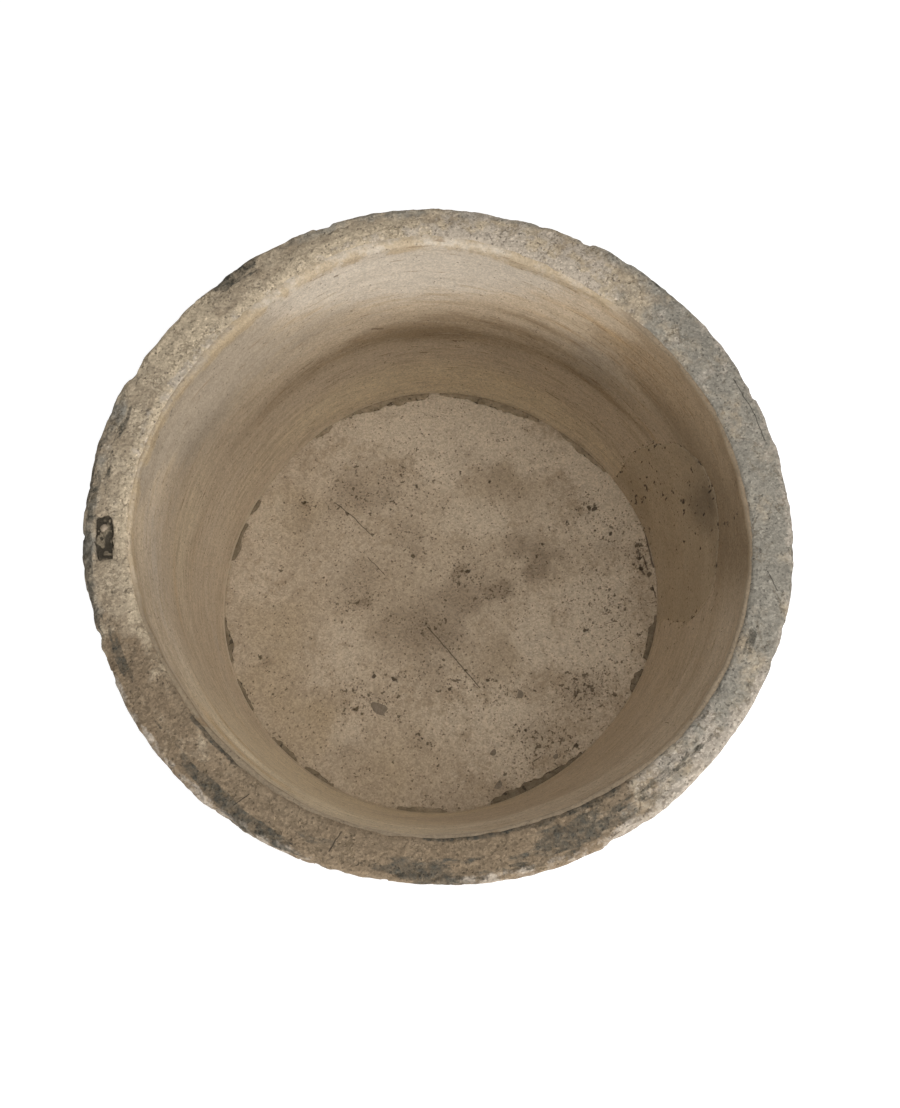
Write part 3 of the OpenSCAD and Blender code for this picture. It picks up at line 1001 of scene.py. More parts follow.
def lime_render(zones):
    """Floated lime render, aged indoors and out: matt, with sand in its skin, level trowel streaks, warm
    bands where damp drew iron through it and a few pinholes. Its colour also holds painted light and shade: a
    bright band high at the back, sunny patches, shade on the upper right and in the brown bands under the
    bright band, a darker roll on the lip and a highlight along the foot."""
    material, tree, place, zone = start("floated_lime_render", *zones)
    low, lower, lowest, line = (
        wire(tree, "Mapping", {"Vector": place, "Scale": (1, 1, squeeze)}) for squeeze in (1.7, 2.5, 9, 14)
    )
    streak = clouds(tree, lowest, 22 * MM, 1, 7.0, 0.72)
    cloud = clouds(tree, lower, 40 * MM, 2, 4.0)
    mottle = clouds(tree, low, 9 * MM, 12, 5.0, 0.7)
    fine, kind = grains(tree, place, 1.7 * MM)
    ragged = summed(tree, 0, (streak, 0.4), (cloud, 0.2))
    base = paint(tree, colour("#b8a58a"), patch(tree, 0.5, 0.5, (ragged, 1)), 1, "#c8b69e")
    for name, code, strength in WALL_STAINS:
        base = paint(tree, base, patch(tree, 0.4, zone[name], (ragged, 1)), strength, code)
    # Painted shade on the upper right of the wall
    base = paint(tree, base, patch(tree, 0.45, zone["shaded"], (ragged, 0.6)), 0.85, "#8f7b61")
    base = paint(tree, base, broken(tree, place, zone["sandy"], 12 * MM, 8, 1.1, 0.5), 0.7, "#b19c7c")
    # The lip's roll at the front and on the right takes the stone's darker tone: partly its colour, partly
    # painted shade over the light the roll catches
    base = paint(tree, base, patch(tree, 0.3, zone["lip"], (fine, 0.2)), 0.8, "#84745f")
    rust = spots(tree, line, 16 * MM, 9, 0, (zone["brown"], 0.5), (zone["ochre"], 0.5))
    base = paint(tree, base, rust, 0.5, "#7d6447")
    base = toned(tree, base, 0.17, (streak, 0.65), (mottle, 0.5), (fine, 0.9))
    sand = wire(tree, "Math", {0: kind, 1: 0.012}, operation="LESS_THAN")
    base = paint(tree, base, sand, 0.45, "#4a3d2e")
    marks = scratches(tree, place, 8 * MM, 2 * MM, [
        (wall_point(az0, z0), wall_point(az1, z1), width * MM) for az0, z0, az1, z1, width in WALL_MARKS
    ])
    base = paint(tree, base, marks, 0.6, "#5f4c36")
    holes = spots(tree, place, 3.0 * MM, 6, -0.4)
    edge_holes = spots(tree, place, 2.8 * MM, 7, -0.5, (zone["joint"], 1))
    pits = strongest(tree, holes, edge_holes)
    base = paint(tree, base, pits, 0.8, "#3d3328")
    # Painted highlight: a light ragged line along the foot of the wall
    base = paint(tree, base, broken(tree, place, zone["foot"], 5 * MM, 10, 0.5), 0.6, "#d2c2a8")
    return close(
        material, base, 0.9 * MM, 0.8, (streak, 0.22), (fine, 0.12), (pits, -0.9), (marks, -0.8),
    )


def lining_zones(az, z):
    """Stains, painted light and shade, and the places of the joint, the lip and the foot, for each point of
    the render. The pinholes of the joint also follow a second line, about 8 degrees to the left of the
    repair."""
    share = patch_share(az, z)
    second = np.exp(-(((share + 1.05) / 0.16) ** 2)) * (np.abs(az + 15) < 19)
    on_wall = (z < HEIGHT - 8 * MM) & (z > 100 * MM)
    zones = {name: bands(az, z, rows) for name, rows in WALL_BANDS.items()}
    return zones | {
        # Painted light: the bright band at the back where the front lamp reaches
        "painted_light": painted_light_band(az, z),
        "joint": (np.exp(-((share / 0.12) ** 2)) + second) * on_wall,
        # Painted shade on the upper right of the wall
        "shaded": smooth((z - 235 * MM) / (70 * MM)) * span(az, -12, 44, 24),
        "sandy": 0.75 * smooth(1 - np.abs(z - HEIGHT + 9 * MM) / (14 * MM)) * span(az, 50, 226, 20),
        # Partly painted shade: the lip's roll darkened at the front and on the right
        "lip": smooth((z - HEIGHT + 8.5 * MM) / (3 * MM)) * span(az, -166, 50, 20),
        # Painted highlight along the foot of the wall, strongest on the left
        "foot": smooth((FLOOR_TOP + 9 * MM - z) / (6 * MM)) * (0.5 + 0.35 * span(az, 120, 210, 20)),
    }


wall_zones = lining_zones(AZ, lining_zz)
lining = add_piece("lime_render_lining", polar(lining_rr, AZ, lining_zz), **wall_zones)
install(lining, lime_render(wall_zones), "lime_render", "wall_render")

# %% [markdown]
# ## Plaques
# The repair on the wall and the fills in the floor are the same kind of shape: a patch with an
# outline, slightly crowned, whose edge dips under what is round it. The grid runs from a pole in
# the middle out to the outline, and back underneath to a second pole.


# %% Plaque grid
def plaque(outline, centre, rows=14):
    """Flat places [row, column, xy] from the middle to the outline and back. Also gives how far out
    each row lies, from 0 to 1, and whether it lies underneath."""
    out = np.sqrt(np.linspace(0, 1, rows + 1)[1:])
    share = np.concatenate([out, out[::-1][1:]])
    flat = centre + share[:, None, None] * (outline - centre)
    under = np.arange(len(share)) >= rows
    return flat, share, under


def squared(angles, half_x, half_y, n):
    """Superellipse points: cos and sin to the power 2/n, keeping their signs."""
    c, s = np.cos(angles), np.sin(angles)
    x = half_x * np.sign(c) * np.abs(c) ** (2 / n)
    y = half_y * np.sign(s) * np.abs(s) ** (2 / n)
    return np.stack([x, y], -1)


# %% [markdown]
# ## Wall repair
# The repair is a harder, greyer mortar. Air that couldn't escape left pinholes along its edge and
# over its middle, and dirt has made them dark.


# %% Shape of the repair
def repair_grid():
    """The repair as a plaque bent onto the wall, 0.25 mm proud, its edge 1 mm under the render."""
    columns, rows = 360, 60
    rise = PATCH_TOP - PATCH_SPRING
    arch = squared(np.linspace(0, math.pi, 300), PATCH_HALF, rise, PATCH_SQUARE)
    arch = arch[arch[:, 1] > FLOOR_TOP - 4 * MM - PATCH_SPRING]
    arch[:, 0] += PATCH_LEAN * arch[:, 1] / rise
    loop = np.concatenate([arch, arch[:1]])
    gone = np.concatenate([[0], np.cumsum(np.linalg.norm(np.diff(loop, axis=0), axis=1))])
    even = np.linspace(0, gone[-1], columns, endpoint=False)
    outline = np.stack([np.interp(even, gone, loop[:, 0]), np.interp(even, gone, loop[:, 1])], -1)
    flat, _, under = plaque(outline, np.array([-6 * MM, 150 * MM]), rows)
    z = flat[..., 1] + PATCH_SPRING
    az = PATCH_AZ + np.degrees(np.arcsin(flat[..., 0] / finished_r(z)))
    edge = patch_share(az, z)
    uneven = noise(polar(WALL_MEAN_R, az, z), 30 * MM, 44)
    proud = 0.25 * MM - 1.3 * MM * smooth(1 - edge / 0.1) + 0.25 * MM * uneven
    sunk = np.where(under, 6 * MM, 0.0)[:, None]
    return polar(lining_r(az, z) - proud + sunk, az, z), edge


repair_points, repair_edge = repair_grid()
print("rows of the repair:", len(repair_points))

# %% Finish of the repair
# Pits and gouges of the repair: direction and height in mm, length up the wall and half width in mm
GOUGES = [
    (10.8, 300, 9, 1.7), (10.1, 288, 8, 1.5), (8.3, 293, 4, 1.1), (25.9, 80, 7, 1.6),
    (23.3, 89, 4, 1.3), (26.1, 64, 3, 1.1), (18.4, 155, 6, 1.3), (23.8, 146, 5, 1.1),
    (29.8, 148, 3, 0.9), (11.9, 193, 4, 1.2), (7.5, 252, 6, 1.3), (6.5, 139, 4, 1.0),
    (11.9, 152, 2, 0.9), (-12.8, 170, 3, 1.2), (-4.5, 173, 2, 0.9), (-0.9, 273, 2, 0.9),
    (12.4, 215, 3, 0.9), (9.6, 228, 3, 1.0), (13.6, 176, 2, 0.8), (15.5, 238, 3, 0.9),
]
# Crowds of pits, and stains: direction, height in mm, degrees and mm they reach, strength
PITTED_BANDS = [
    (9, 279, 5, 14, 1.4), (12, 205, 10, 48, 1.3), (4, 230, 8, 50, 0.7), (26, 150, 12, 60, 0.6),
    (24, 100, 9, 44, 1.1), (16, 258, 6, 30, 0.7),
]
STAINED_BANDS = [(9, 283, 5, 14, 0.6), (8, 262, 12, 60, 0.75), (12, 215, 12, 60, 0.4)]


def repair_zones(az, z, edge):
    """Pits along the edge and in crowds, stains, the dirty line round the edge, and the upper part
    that gets less light."""
    return {
        "pitted": 0.6 * np.exp(-((edge / 0.15) ** 2)) + 0.35 * bands(az, z, PITTED_BANDS) - 0.06,
        "stain": bands(az, z, STAINED_BANDS),
        "rim": 0.8 * np.exp(-((edge / 0.06) ** 2)),
        "shaded": 0.7 * smooth((z - 235 * MM) / (90 * MM)),
    }


def repair_mortar(zones):
    """Cement-gauged mortar, steel-floated: closer and greyer than the render, and pitted."""
    material, tree, place, zone = start("floated_repair_mortar", *zones)
    fine, kind = grains(tree, place, 1.7 * MM)
    cloud = clouds(tree, place, 30 * MM, 2, 5.0, 0.6)
    base = paint(tree, colour("#ac9a80"), patch(tree, 0.5, 0.5, (cloud, 0.4)), 1, "#bba98f")
    # Painted shade: the upper part of the repair is darker, as it gets less light
    base = paint(tree, base, zone["shaded"], 1, "#8f7e67")
    base = paint(tree, base, patch(tree, 0.45, zone["stain"], (cloud, 0.4), middle=0.6), 0.6, "#685c4c")
    base = toned(tree, base, 0.14, (fine, 1))
    sand = wire(tree, "Math", {0: kind, 1: 0.02}, operation="LESS_THAN")
    base = paint(tree, base, sand, 0.5, "#4a3d2e")
    base = paint(tree, base, broken(tree, place, zone["rim"], 4 * MM, 6, 0.5), 0.45, "#57472f")
    tall = wire(tree, "Mapping", {"Vector": place, "Scale": (1, 1, 0.6)})
    small = spots(tree, tall, 3.0 * MM, 3, -0.05, (zone["pitted"], 0.9))
    large = spots(tree, tall, 6.5 * MM, 4, -0.3, (zone["pitted"], 0.8))
    gouges = scratches(tree, place, 3 * MM, 1 * MM, [
        (wall_point(az, z), wall_point(az, z + high), width * MM) for az, z, high, width in GOUGES
    ])
    pits = strongest(tree, small, large, gouges)
    base = paint(tree, base, pits, 0.88, "#30271d")
    return close(material, base, 1.0 * MM, 0.72, (cloud, 0.1), (fine, 0.08), (pits, -1.0))


repair_az = np.degrees(np.arctan2(repair_points[..., 1], repair_points[..., 0]))
mortar_zones = repair_zones(repair_az, repair_points[..., 2], repair_edge)
repair = add_capped("wall_repair", repair_points, **mortar_zones)
install(repair, repair_mortar(mortar_zones), "patch_mortar", "wall_patch")

# %% [markdown]
# ## Mends in the floor
# Fourteen runs of mortar fill the seam, and five fills are let into the floor. Their places are
# directions and distances from the seam, and the same lists make the hollows they lie in.

# %% Lists of mends
RUN_W = 11 * MM
RUN_END_W = 2.5 * MM
RUN_SWELL = 0.2
# Runs: name, first and last direction, share of the full width, share of the length where fattest
RUNS = [
    ("mortar_back_left_long", 93, 118.5, 1, 0.3), ("mortar_back_left_short", 122, 128, 0.55, 0.5),
    ("mortar_back_right_long", 61, 90.5, 0.9, 0.35), ("mortar_right_back", 37, 54, 0.65, 0.4),
    ("mortar_right_long", -18.5, -6, 0.65, 0.5), ("mortar_right_short", -28, -21, 0.75, 0.4),
    ("mortar_front_right_long", -77, -49, 0.8, 0.25), ("mortar_front", -101, -88, 0.45, 0.5),
    ("mortar_front_left_short", -127, -118, 0.45, 0.5),
    ("mortar_front_left_long", -138.5, -129.5, 0.45, 0.5),
    ("mortar_left_front", -156.5, -147, 0.45, 0.4), ("mortar_left_long", -173.5, -161, 0.55, 0.6),
    ("mortar_left_back_long", 159.5, 171, 0.65, 0.7), ("mortar_left_back_short", 152, 157, 0.45, 0.5),
]
# Fills: name, direction, mm inside the seam, length and width in mm, degrees of twist
FILLS = [
    ("floor_fill_large", -117, 105, 23, 14, 0), ("floor_fill_front", -72, 60, 10, 7, 20),
    ("floor_fill_right", -55.5, 23, 8, 6, 0), ("floor_fill_edge", -73.5, 22, 13, 8, 30),
    ("floor_fill_dark", -52.5, 107, 11, 8, 40),
]
FILL_SQUARE = 2.4
print("runs of mortar:", len(RUNS), "and fills:", len(FILLS))


def seam_r(az):
    """Radius of the seam between floor and wall."""
    return SEAM_R + seam_edge(az)


def run_width(u, share, fattest):
    """Width of a run at a share u of its length: sin(pi u^skew), fattest where it should be."""
    skew = math.log(0.5) / math.log(fattest)
    swell = 1 - RUN_SWELL * np.sin(3 * math.pi * u) ** 2
    return RUN_END_W + (share * RUN_W - RUN_END_W) * np.sin(math.pi * u**skew) * swell


def ragged_edge(az, seed=51):
    """How far a run's inner edge wanders, in crumbs of 12 mm and of 4.5 mm."""
    ring = polar(SEAM_R, az, 0.0)
    return (1.8 * noise(ring, 12 * MM, seed) + 1.3 * noise(ring, 4.5 * MM, seed + 1) - 0.4) * MM


# %% [markdown]
# ## Floor screed
# A screed of lime, sand and crushed stone, poured after the wall was rendered. It has worn a little hollow,
# its sand stands out as fine dark grains, and damp has left soft stains; light blots at the back and on the
# right are painted light. It is a polar grid, with close rows near the seam where the mends lie.

# %% Shape of the floor
# Pits worn in the floor: x and y in mm, radius and depth in mm
PITS = [
    (259, 24, 4.5, 3.0), (249, 31, 3.5, 2.2), (255, 38, 3.0, 2.0), (247, 44, 2.5, 1.5),
    (261, 5, 2.5, 1.5), (246, 61, 4.0, 2.5), (-172, 116, 4.5, 1.6), (-217, -80, 3.5, 1.6),
    (-100, -143, 3.5, 1.8), (-115, -134, 4.0, 2.0), (-93, -150, 3.0, 1.5), (-34, 47, 3.5, 1.3),
    (188, 110, 4.0, 1.4), (33, 28, 3.0, 1.2),
]


def mend_share(x, y):
    """1 inside the mends, a little in from their edges, 0 outside."""
    az, r = np.degrees(np.arctan2(y, x)), np.hypot(x, y)
    inside = np.zeros(x.shape)
    for _, first, last, share, fattest in RUNS:
        u = np.clip((az - first) / (last - first), 0.001, 0.999)
        depth = r - (seam_r(az) - run_width(u, share, fattest) + ragged_edge(az))
        held = (az > first) & (az < last)
        inside = np.maximum(inside, np.where(held, smooth(depth / (1.5 * MM)), 0))
    for _, turn, inset, length, width, _ in FILLS:
        a, centre = math.radians(turn), SEAM_R - inset * MM
        away = np.hypot(x - centre * math.cos(a), y - centre * math.sin(a))
        inside = np.maximum(inside, smooth((min(length, width) / 2 * MM - away) / (2 * MM)))
    return inside


def floor_z(x, y):
    """Height of the floor: worn hollow in the middle, with soft waves, fine grain, pits and a groove
    along the seam."""
    points = level(x, y)
    r = np.hypot(x, y)
    wear = 1.0 - 0.8 * smooth(r / (250 * MM)) + 0.5 + 0.5 * noise(points, 70 * MM, 61)
    grain = 0.12 * fractal(points, 9 * MM, 2, 62)
    z = FLOOR_TOP - np.maximum(wear + grain, 0) * MM
    for cx, cy, radius, depth in PITS:
        away = np.hypot(x - cx * MM, y - cy * MM) + 0.8 * MM * noise(points, 4 * MM, 64)
        z = z - depth * MM * smooth(1.4 - away / (radius * MM))
    groove = smooth((r - seam_r(np.degrees(np.arctan2(y, x))) + 2.2 * MM) / (2.5 * MM))
    return z - 0.8 * MM * groove


radii = np.concatenate([np.linspace(4, 240, 52), np.linspace(240, 263, 24)[1:], [264.0, 265.0, 266.5]]) * MM
floor_r = radii[:, None] + seam_edge(AZ[None, :]) * smooth((radii[:, None] - 60 * MM) / (200 * MM))
floor_x, floor_y = floor_r * np.cos(np.radians(AZ)), floor_r * np.sin(np.radians(AZ))
top_z = floor_z(floor_x, floor_y) - 2 * MM * mend_share(floor_x, floor_y)
print(f"floor lies {(FLOOR_TOP - top_z.max()) / MM:.1f} to {(FLOOR_TOP - top_z.min()) / MM:.1f} mm down")

# %% Stains of the floor
# Stains, painted light, and crowds of small pits: x, y, reach in mm, strength
FLOOR_BLOTS = {
    "grey": [
        (114, 26, 26, 1.2), (84, 60, 26, 0.7), (130, 46, 24, 0.6), (106, 54, 20, 0.5),
        (45, 8, 55, 0.55), (10, -22, 56, 0.7), (-43, -50, 62, 0.65), (-5, -55, 40, 0.4),
        (-110, 8, 50, 0.45), (-98, -12, 16, 0.6), (-82, 145, 55, 0.45), (-120, 125, 42, 0.5),
        (-171, 117, 15, 0.8), (-180, 98, 32, 0.35), (84, 137, 48, 0.45), (38, 168, 42, 0.4),
        (189, 109, 18, 0.5), (-54, 76, 34, 0.5), (-34, 48, 16, 0.6), (-10, -102, 34, 0.5),
        (67, -82, 36, 0.4), (-26, -173, 22, 0.5), (73, -245, 30, 0.7), (12, -258, 55, 0.45),
        (125, -176, 42, 0.4), (167, -118, 36, 0.4), (-95, -206, 40, 0.35), (28, 28, 12, 0.9),
        (62, 2, 16, 0.6), (28, -72, 32, 0.35), (-217, -80, 10, 0.5), (215, 60, 40, 0.35),
        (240, -20, 40, 0.3), (-70, 20, 60, 0.3), (-150, 60, 50, 0.25),
    ],
    # Light blots: pale patches of the screed, and painted light: those near the back paint the light bounced
    # from the bright wall, those on the right paint light over the right wall's shadow
    "light": [
        (66, 94, 40, 0.8), (20, 92, 40, 0.7), (12, 220, 110, 1.0), (0, 156, 34, 0.7),
        (130, -52, 70, 0.8), (185, -55, 60, 0.8), (56, -140, 60, 0.8), (0, -148, 50, 0.5),
        (110, -138, 46, 0.6), (-137, -79, 58, 0.5), (-110, -162, 34, 0.5), (-209, 92, 52, 0.6),
        (222, -68, 50, 0.5), (195, 164, 60, 0.8), (122, 188, 60, 0.7), (189, 10, 66, 0.5),
        (-120, 205, 60, 0.5), (150, 90, 46, 0.5), (-225, 20, 46, 0.5), (-150, 40, 36, 0.4),
        (60, -200, 60, 0.5), (-60, 225, 60, 0.6), (75, 240, 50, 0.7), (186, 176, 60, 0.7),
        (216, 96, 60, 0.7), (210, 0, 60, 0.5), (206, -110, 60, 0.4), (130, -206, 60, 0.4),
        (100, 205, 70, 0.5), (40, 205, 60, 0.4), (-80, 205, 60, 0.4), (205, 105, 50, 0.4),
    ],
    "warm": [
        (-210, -110, 62, 0.7), (-160, -167, 64, 0.7), (-142, -138, 40, 0.4), (-75, -235, 62, 0.5),
        (-200, -40, 62, 0.45), (-70, -10, 80, 0.35), (110, 160, 70, 0.4), (60, 140, 60, 0.3),
        (-190, 110, 60, 0.5), (70, -85, 46, 0.5), (-30, -190, 70, 0.4), (-112, 164, 7, 1.2),
        (230, 120, 60, 0.4), (150, 20, 40, 0.3), (-180, 90, 80, 0.35), (-180, -20, 80, 0.3),
        (40, 60, 120, 0.25),
    ],
    "pitted": [
        (215, -40, 70, 0.6), (205, 70, 70, 0.4), (150, -116, 40, 1.0), (200, -118, 46, 1.0),
        (170, -130, 40, 0.7), (20, -120, 34, 1.0), (60, -120, 34, 1.0), (96, -116, 26, 1.1),
        (-100, -130, 36, 1.2), (-70, -134, 34, 0.9), (130, -184, 52, 1.0), (100, -196, 50, 0.7),
        (245, 44, 34, 1.0), (-110, -10, 40, 0.6), (-20, 66, 50, 0.5), (-110, 120, 56, 0.7),
        (30, 30, 34, 0.6), (180, 0, 60, 0.5), (-175, 114, 26, 0.9), (-40, 130, 60, 0.5),
        (50, 50, 60, 0.4), (75, 0, 40, 0.5), (190, 112, 26, 0.9), (230, 90, 40, 0.7),
        (-30, 172, 60, 0.35), (160, 85, 40, 0.5), (-26, -173, 24, 0.8), (-60, -110, 40, 0.4),
    ],
}


def blots(x, y, chosen):
    """Sum of soft stains, whose outlines wander because the places are shaken by noise first."""
    points = level(x, y)
    x = x + 11 * MM * fractal(points, 40 * MM, 3, 85)
    y = y + 11 * MM * fractal(points, 40 * MM, 3, 95)
    total = np.zeros(x.shape)
    for cx, cy, reach, share in chosen:
        total += share * smooth(1.35 - 1.35 * np.hypot(x - cx * MM, y - cy * MM) / (reach * MM))
    return total


floor_zones = {name: blots(floor_x, floor_y, rows) for name, rows in FLOOR_BLOTS.items()}
print("stains and crowds of pits on the floor:", sum(len(rows) for rows in FLOOR_BLOTS.values()))

# %% Finish of the floor
# Hairline cracks of the floor: x and y of both ends, and half width
FLOOR_CRACKS = [
    (-133, 117, -109, 98, 0.75), (-109, 98, -85, 73, 0.75), (-90, 45, -68, 23, 0.65),
    (-15, -43, 9, -71, 0.8), (9, -71, 48, -118, 0.95), (111, -205, 119, -200, 1.0),
    (255, 81, 260, 54, 1.1), (260, 54, 264, 33, 1.5), (246, 56, 248, 44, 1.6), (248, 36, 252, 24, 1.8),
    (252, 48, 257, 30, 1.2), (262, 10, 265, -6, 1.0), (200, -40, 216, -36, 0.4),
    (206, -62, 222, -52, 0.35),
]
# Stains of the screed, with painted light in the light zone: zone, colour and strength
FLOOR_STAINS = (("warm", "#9f8a69", 0.5), ("light", "#cdbda6", 0.6), ("grey", "#75644f", 0.6))


def screed(zones):
    """Lime and sand screed, worn by use: dull, peppered with dark grains of 1 to 2 mm, pitted in places and
    softly stained by damp, with painted light at the back and on the right."""
    material, tree, place, zone = start("worn_lime_screed", *zones)
    fine, kind = grains(tree, place, 1.8 * MM)
    lumps = clouds(tree, place, 5 * MM, 2, 4.0, 0.7)
    broad = clouds(tree, place, 20 * MM, 3, 7.0, 0.7)
    ragged = summed(tree, 0, (lumps, 0.25), (broad, 0.6))
    base = paint(tree, colour("#a5937b"), patch(tree, 0.6, 0.5, (ragged, 1)), 1, "#c0af98")
    for name, code, strength in FLOOR_STAINS:
        stain = patch(tree, 0.55, 0, (zone[name], 0.9), (ragged, 1.05), middle=0.54)
        base = paint(tree, base, stain, strength, code)
    base = toned(tree, base, 0.26, (lumps, 0.3), (fine, 0.75))
    crowd = summed(tree, 0, (zone["grey"], 0.15), (zone["pitted"], 0.3))
    sand = wire(tree, "Math", {0: kind, 1: summed(tree, 0.018, (crowd, 0.24))}, operation="LESS_THAN")
    base = paint(tree, base, sand, 0.6, "#564838")
    base = paint(tree, base, spots(tree, place, 2.4 * MM, 4, -0.04, (crowd, 1)), 0.75, "#463a2b")
    holes = spots(tree, place, 4.6 * MM, 5, -0.34, (crowd, 1.2))
    base = paint(tree, base, holes, 0.85, "#3a2f22")
    deep = patch(tree, 0.15, zone["pit"], (lumps, 0.55), middle=0.7)
    base = paint(tree, base, deep, 0.8, "#40341f")
    cracks = scratches(tree, place, 6 * MM, 1.5 * MM, [
        ((x0 * MM, y0 * MM, 0.0), (x1 * MM, y1 * MM, 0.0), width * MM)
        for x0, y0, x1, y1, width in FLOOR_CRACKS
    ], ON_PLAN)
    base = paint(tree, base, cracks, 0.7, "#3a2f22")
    return close(
        material, base, 1.0 * MM, 0.85, (lumps, 0.14), (fine, 0.12), (holes, -0.8), (cracks, -0.6),
    )


under = np.stack([polar(r * MM, AZ, BASE_T) for r in (266, 120)])
floor_grid = np.concatenate([np.stack([floor_x, floor_y, top_z], -1), under])
floor_zones["pit"] = sum(
    smooth(1.5 - np.hypot(floor_x - cx * MM, floor_y - cy * MM) / (radius * MM)) for cx, cy, radius, _ in PITS
)
padding = np.zeros((len(under), COLUMNS))
floor = add_piece(
    "lime_screed_floor", floor_grid, poles=np.array([[0, 0, float(top_z[0].mean())], [0, 0, BASE_T]]),
    **{name: np.concatenate([values, padding]) for name, values in floor_zones.items()},
)
install(floor, screed(floor_zones), "floor_screed", "floor_screed")

# %% [markdown]
# ## Seam mortar
# Each run was pressed into the seam with a finger or a small tool, so it is a low, lumpy strip
# with a ragged edge towards the floor. Its cross-section is a closed loop carried along the seam:
# over the top from the floor side to the wall, and back underneath.


# %% Mortar runs
def pointing_mortar(name, dark, light):
    """Lime pointing mortar with ash in it: grey, crumbly and very matt."""
    material, tree, place, zone = start(name, "border", "dirty")
    fine = clouds(tree, place, 1.2 * MM, 1, 2.0, 0.6)
    lumps = clouds(tree, place, 5 * MM, 2, 3.0, 0.6)
    base = paint(tree, colour(dark), patch(tree, 0.6, 0.5, (lumps, 0.5)), 1, light)
    base = toned(tree, base, 0.2, (fine, 1))
    pits = spots(tree, place, 2.8 * MM, 3, 0.1, (zone["border"], 0.5))
    base = paint(tree, base, pits, 0.7, "#2f281f")
    # Toned darker where the share of darkening is high
    base = toned(tree, base, 0.38, (zone["dirty"], -1.0))
    return close(material, base, 1.2 * MM, 0.9, (lumps, 0.2), (fine, 0.14), (pits, -0.5))


seam_finish = pointing_mortar("ash_lime_pointing", "#7f7059", "#a39279")
RING = 14


def run_grid(first, last, share, fattest):
    """Cross-sections along a run: across from its floor side (0) to 3 mm under the render (1)."""
    steps = max(24, int((last - first) * 4))
    u = np.linspace(0.004, 0.996, steps)[:, None]
    az = first + (last - first) * u
    loop = np.linspace(0, 2 * math.pi, RING, endpoint=False)[None, :]
    across = 0.5 - 0.5 * np.cos(loop)
    width = run_width(u, share, fattest) - ragged_edge(az)
    r = seam_r(az) - width + (width + 3 * MM) * across
    x, y = r * np.cos(np.radians(az)), r * np.sin(np.radians(az))
    crown = (0.6 + 0.6 * noise(level(x, y), 6 * MM, 71)) * np.sin(loop) * np.minimum(1, 8 * u * (1 - u))
    z = floor_z(x, y) + np.where(np.sin(loop) > 0, crown * 1.3 * MM, 2.5 * np.sin(loop) * MM)
    border = smooth(np.abs(across - 0.45) * 3 - 0.5) * np.ones(z.shape)
    # Runs in the front and on the right, and on the left from about 146 to 264 degrees, are toned darker
    dirty = (span(az, -90, 4, 14) + 0.75 * span(az, 146, 264, 8)) * np.ones(z.shape)
    return np.stack([x, y, z], -1), border, dirty


for name, first, last, share, fattest in RUNS:
    strip, border, dirty = run_grid(first, last, share, fattest)
    piece = add_capped(name + "_visual", strip, border=border, dirty=dirty)
    install(piece, seam_finish, "seam_mortar", name)

# %% [markdown]
# ## Floor fills
# Five holes in the floor were stopped with mortar and struck off level. Each is a small plaque
# laid on the floor, with a wandering outline.


# %% Fills
def fill_grid(turn, inset, length, width, twist):
    """A plaque on the floor: crown 0.35 mm proud, edge 1.45 mm under the floor."""
    angles = np.linspace(0, 2 * math.pi, 72, endpoint=False)
    outline = squared(angles, width / 2 * MM, length / 2 * MM, FILL_SQUARE)
    wander = 1.05 + 0.14 * noise(polar(7 * MM, np.degrees(angles), inset * MM), 7 * MM, 82)
    wander = wander + 0.15 * np.cos(3 * angles + math.radians(turn + 60))
    flat, share, under = plaque(outline * wander[:, None], np.zeros(2), 10)
    c, s = math.cos(math.radians(twist)), math.sin(math.radians(twist))
    x = SEAM_R - inset * MM + c * flat[..., 0] - s * flat[..., 1]
    y = s * flat[..., 0] + c * flat[..., 1]
    a = math.radians(turn)
    x, y = x * math.cos(a) - y * math.sin(a), x * math.sin(a) + y * math.cos(a)
    proud = 0.35 * MM - 1.8 * MM * share[:, None] ** 6
    proud = np.where(under[:, None], -3 * MM, proud)
    return np.stack([x, y, floor_z(x, y) + proud], -1)


fill_finish = pointing_mortar("struck_floor_mortar", "#75695a", "#877a69")
for name, turn, inset, length, width, twist in FILLS:
    piece = add_capped(name + "_visual", fill_grid(turn, inset, length, width, twist))
    install(piece, fill_finish, "floor_fill", name)

# %% [markdown]
# ## Pocket in the rim
# A small oblong pocket on the left of the rim, perhaps for an iron clamp, is stopped with dark,
# crumbling mortar, and a light pebble is bedded in it.

# %% Pocket
rim_here = HEIGHT - float(rim_sag(np.array(POCKET_AZ)))


def pocket_place(across, along):
    """Turns a place in the pocket (across the rim, along the rim) into x and y."""
    a = math.radians(POCKET_AZ)
    x = POCKET_R + across
    return x * math.cos(a) - along * math.sin(a), x * math.sin(a) + along * math.cos(a)


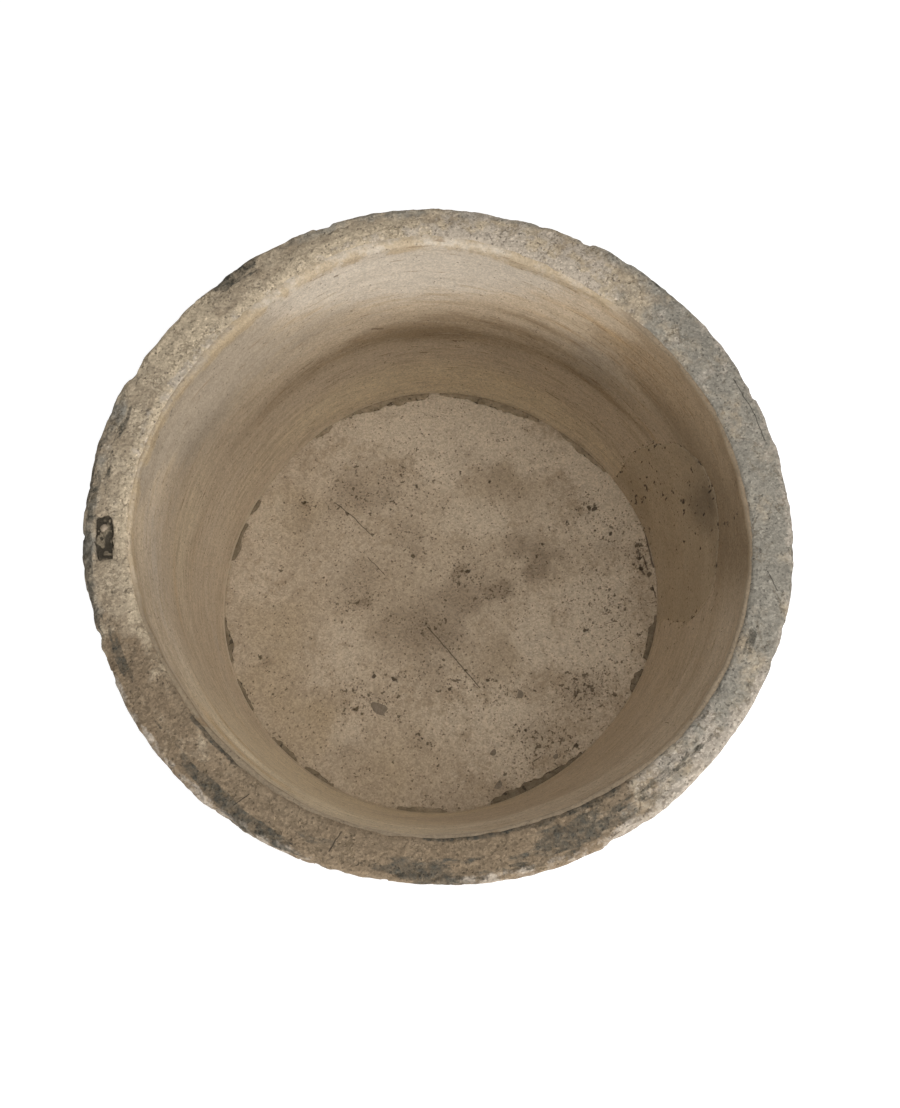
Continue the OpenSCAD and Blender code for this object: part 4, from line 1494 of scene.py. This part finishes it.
def pocket_grid():
    """The crumbling fill: a square-cornered plaque near the level of the rim, with crevices 2.6 mm
    deep round its border and between its lumps. Also gives each point's share of crevice."""
    angles = np.linspace(0, 2 * math.pi, 160, endpoint=False)
    outline = squared(angles, POCKET_W / 2, POCKET_L / 2, 4)
    outline = outline * (1.0 + 0.1 * noise(polar(9 * MM, np.degrees(angles), 0.0), 5 * MM, 94))[:, None]
    flat, share, under = plaque(outline, np.zeros(2), 24)
    x, y = pocket_place(flat[..., 0], flat[..., 1])
    points = level(x, y)
    deep = 0.25 * share[:, None] ** 8 + 0.7 * noise(points, 2.6 * MM, 98) + 0.4 * noise(points, 5 * MM, 99)
    crevice = smooth((deep + 0.55) / 0.8)
    top = -1.8 + 0.8 * fractal(points, 5 * MM, 2, 91) - 2.6 * crevice
    z = rim_here + np.where(under[:, None], -9.0, np.minimum(top, -0.6)) * MM
    return np.stack([x, y, z], -1), crevice


def pocket_mortar():
    """Crumbled mortar with the colour of the stone, black where dirt lies in its crevices."""
    material, tree, place, zone = start("crumbled_pocket_mortar", "crevice")
    fine = clouds(tree, place, 1.2 * MM, 1, 2.0, 0.75)
    lumps = clouds(tree, place, 4 * MM, 2, 4.0, 0.65)
    base = paint(tree, colour("#6f6453"), patch(tree, 0.5, 0.5, (lumps, 0.5)), 1, "#91846f")
    base = toned(tree, base, 0.35, (fine, 1))
    base = paint(tree, base, patch(tree, 0.4, zone["crevice"], (lumps, 0.5)), 0.85, "#332e26")
    return close(material, base, 1.4 * MM, 0.95, (lumps, 0.3), (fine, 0.2))


crumbs, crevice = pocket_grid()
pocket = add_capped("rim_pocket_mortar", crumbs, crevice=crevice)
install(pocket, pocket_mortar(), "pocket_mortar", "rim_pocket_fill")

# %% Pebble
PEBBLE_R = 5.5 * MM
PEBBLE_ALONG = -10 * MM
tilt = np.radians(np.linspace(-84, 84, 29))[:, None]
turn = np.radians(np.linspace(0, 360, 48, endpoint=False))[None, :]
ball = np.stack(
    [np.cos(tilt) * np.cos(turn), np.cos(tilt) * np.sin(turn), np.sin(tilt) * np.ones(turn.shape)], -1,
)
poles = np.array([[0, 0, -1.0], [0, 0, 1.0]])
pebble_x, pebble_y = pocket_place(0.0, PEBBLE_ALONG)
centre = np.array([pebble_x, pebble_y, HEIGHT - 1 * MM - PEBBLE_R])


def pebble_shape(direction):
    """A water-worn pebble: a ball whose radius changes softly, from 0.87 to 0.99 of PEBBLE_R."""
    return centre + direction * PEBBLE_R * (0.93 + 0.06 * noise(direction, 0.9, 97))[..., None]


pebble = add_piece("pocket_pebble", pebble_shape(ball), poles=pebble_shape(poles))
install(pebble, pointing_mortar("water_worn_pebble", "#85755f", "#a39380"), "pebble", "rim_pocket_pebble")
